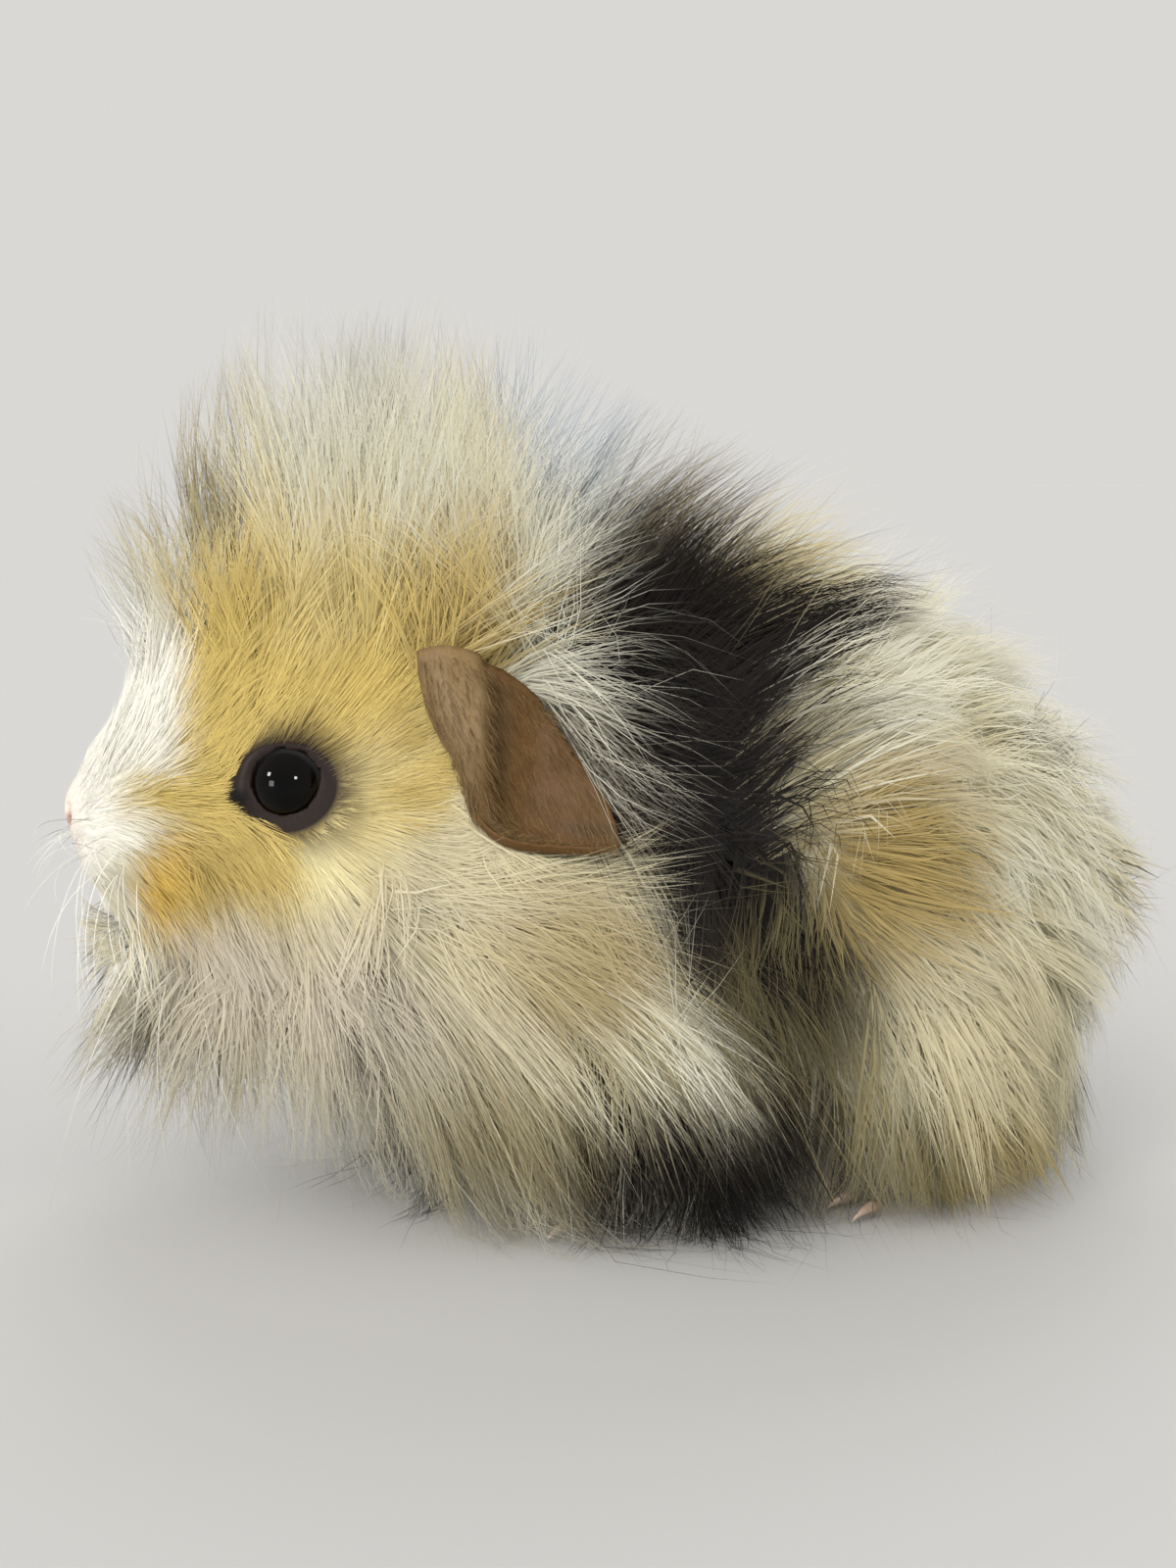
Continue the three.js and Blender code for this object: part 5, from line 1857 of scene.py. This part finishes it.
# The eye's colours by the angle from its line of sight: pupil, iris, and a paler bluish rim that is
# partly the limbus and partly a painted reflection.
eyeTones = [
    (0.30, (0.0008, 0.0007, 0.0007, 1)),
    (0.42, (0.0016, 0.0012, 0.001, 1)),
    (0.80, (0.003, 0.002, 0.0016, 1)),
    # paler bluish rim: partly the limbus, partly a painted reflection
    (0.93, (0.02, 0.022, 0.025, 1)),
    (1.0, (0.006, 0.005, 0.005, 1)),
]


def makeEyeMaterial():
    material, tree, shader = newMaterial("wetEye", Roughness=0.03, Specular_IOR_Level=0.12)
    ramp = addNode(tree, "ShaderNodeValToRGB", [(0, separated(tree, "sightAngle")[0])])
    stops = ramp.color_ramp.elements
    for i, (position, tone) in enumerate(eyeTones):
        stop = stops[i] if i < 2 else stops.new(position)
        stop.position = position
        stop.color = tone
    tree.links.new(ramp.outputs[0], shader.inputs["Base Color"])
    return material


clawLook = {"root": (0.34, 0.22, 0.17), "tip": (0.52, 0.42, 0.34), "grain": 1.5, "light": (0.75, 1.2)}


def makeClawMaterial():
    material, tree, shader = newMaterial("horn", Roughness=0.35)
    grain = grainAt(tree, attribute(tree, "markPlace"), clawLook["grain"], 2.0)
    tone = mixed(tree, separated(tree, "strand")[0], clawLook["root"], clawLook["tip"])
    colour = scaled(tree, tone, mapped(tree, grain, *clawLook["light"]))
    tree.links.new(colour, shader.inputs["Base Color"])
    return material


coatMaterial = makeCoatMaterial()
earHairMaterial = makeEarHairMaterial()
for piece in coatPieces:
    piece.data.materials.append(earHairMaterial if piece is earCoat else coatMaterial)
skin.data.materials.append(makeSkinMaterial())
eyeMaterial = makeEyeMaterial()
for piece in eyePieces:
    piece.data.materials.append(eyeMaterial)
claws.data.materials.append(makeClawMaterial())
print("materials made")

studio = {
    "floorSize": 60.0,
    "floorColour": (0.509, 0.5135, 0.5206),
    "floorGrain": {"scale": 40.0, "detail": 3.0, "darker": 0.98},
    "worldColour": (1.0, 0.985, 0.955, 1),
    "worldStrength": 0.7,
    "suns": [  # name, the way it comes from, strength, angle across, colour
        ("key", (-0.66, -0.78, 0.68), 1.95, 50.0, (1.0, 0.955, 0.87)),
        ("front", (-0.40, -0.95, 0.30), 0.45, 20.0, (1.0, 0.97, 0.92)),
        ("fill", (0.80, -0.40, 0.45), 0.6, 60.0, (1.0, 0.98, 0.95)),
        ("rim", (0.30, 0.80, 0.70), 1.0, 40.0, (1.0, 0.985, 0.96)),
    ],
    "lamps": [  # name, the way it lies from the left eye, power, size: seen only as glints
        ("glintAhead", (-0.885, -0.233, 0.403), 2.2, 0.10),
        ("glintFacing", (0.121, -0.938, 0.324), 1.6, 0.08),
        ("glintLow", (-0.882, -0.470, 0.035), 1.2, 0.16),
    ],
    "lampDistance": 0.65,
}


def makeFloor():
    bpy.ops.mesh.primitive_plane_add(size=studio["floorSize"], location=(0, 0, 0))
    floor = bpy.context.object
    floor.name = "floor"
    material, tree, shader = newMaterial("floorPaint", Roughness=0.8)
    grain = studio["floorGrain"]
    noise = addNode(tree, "ShaderNodeTexNoise",
                    [("Scale", grain["scale"]), ("Detail", grain["detail"])])
    darker = [c * grain["darker"] for c in studio["floorColour"]]
    colour = mixed(tree, noise.outputs["Fac"], darker, studio["floorColour"])
    tree.links.new(colour, shader.inputs["Base Color"])
    floor.data.materials.append(material)


def makeLights():
    world = bpy.data.worlds.new("studio")
    bpy.context.scene.world = world
    world.use_nodes = True
    background = world.node_tree.nodes["Background"]
    background.inputs[0].default_value = studio["worldColour"]
    background.inputs[1].default_value = studio["worldStrength"]
    aim = Vector(leftEye * mm)
    for name, way, strength, across, colour in studio["suns"]:
        sun = bpy.data.lights.new(name, "SUN")
        sun.energy, sun.angle, sun.color = strength, math.radians(across), colour
        holder = bpy.data.objects.new(name, sun)
        holder.rotation_euler = (-Vector(way)).to_track_quat("-Z", "Y").to_euler()
        holder.visible_glossy = False
        bpy.context.scene.collection.objects.link(holder)
    for name, way, power, size in studio["lamps"]:
        lamp = bpy.data.lights.new(name, "AREA")
        lamp.energy, lamp.size = power, size
        holder = bpy.data.objects.new(name, lamp)
        holder.location = aim + Vector(way) * studio["lampDistance"]
        holder.rotation_euler = (-Vector(way)).to_track_quat("-Z", "Y").to_euler()
        holder.visible_diffuse = False
        holder.visible_camera = False
        bpy.context.scene.collection.objects.link(holder)


# The camera stands a little ahead of square to the animal's left side and looks slightly down.
camera = {"azimuth": -18.0, "elevation": 8.0, "lens": 50.0, "sensor": 36.0, "distance": 244.0,
          "eyeAside": -0.1894, "eyeAbove": 0.0019}


def makeCamera():
    azimuth, elevation = math.radians(camera["azimuth"]), math.radians(camera["elevation"])
    level = math.cos(elevation)
    back = np.array((math.sin(azimuth) * level, -math.cos(azimuth) * level, math.sin(elevation)))
    right = np.array((math.cos(azimuth), math.sin(azimuth), 0))
    up = np.cross(back, right)
    height = camera["distance"] * camera["sensor"] / camera["lens"]  # what the frame spans at the eye
    place = leftEye - camera["eyeAside"] * height * right - camera["eyeAbove"] * height * up
    place = place + camera["distance"] * back
    data = bpy.data.cameras.new("camera")
    data.lens, data.sensor_width, data.sensor_fit = camera["lens"], camera["sensor"], "AUTO"
    data.clip_start = 0.01
    holder = bpy.data.objects.new("camera", data)
    turn = Matrix((right, up, back)).transposed().to_4x4()
    holder.matrix_world = Matrix.Translation(Vector(place * mm)) @ turn
    bpy.context.scene.collection.objects.link(holder)
    bpy.context.scene.camera = holder
    bpy.context.scene.view_settings.view_transform = "Standard"


makeFloor()
makeLights()
makeCamera()
print("studio made")
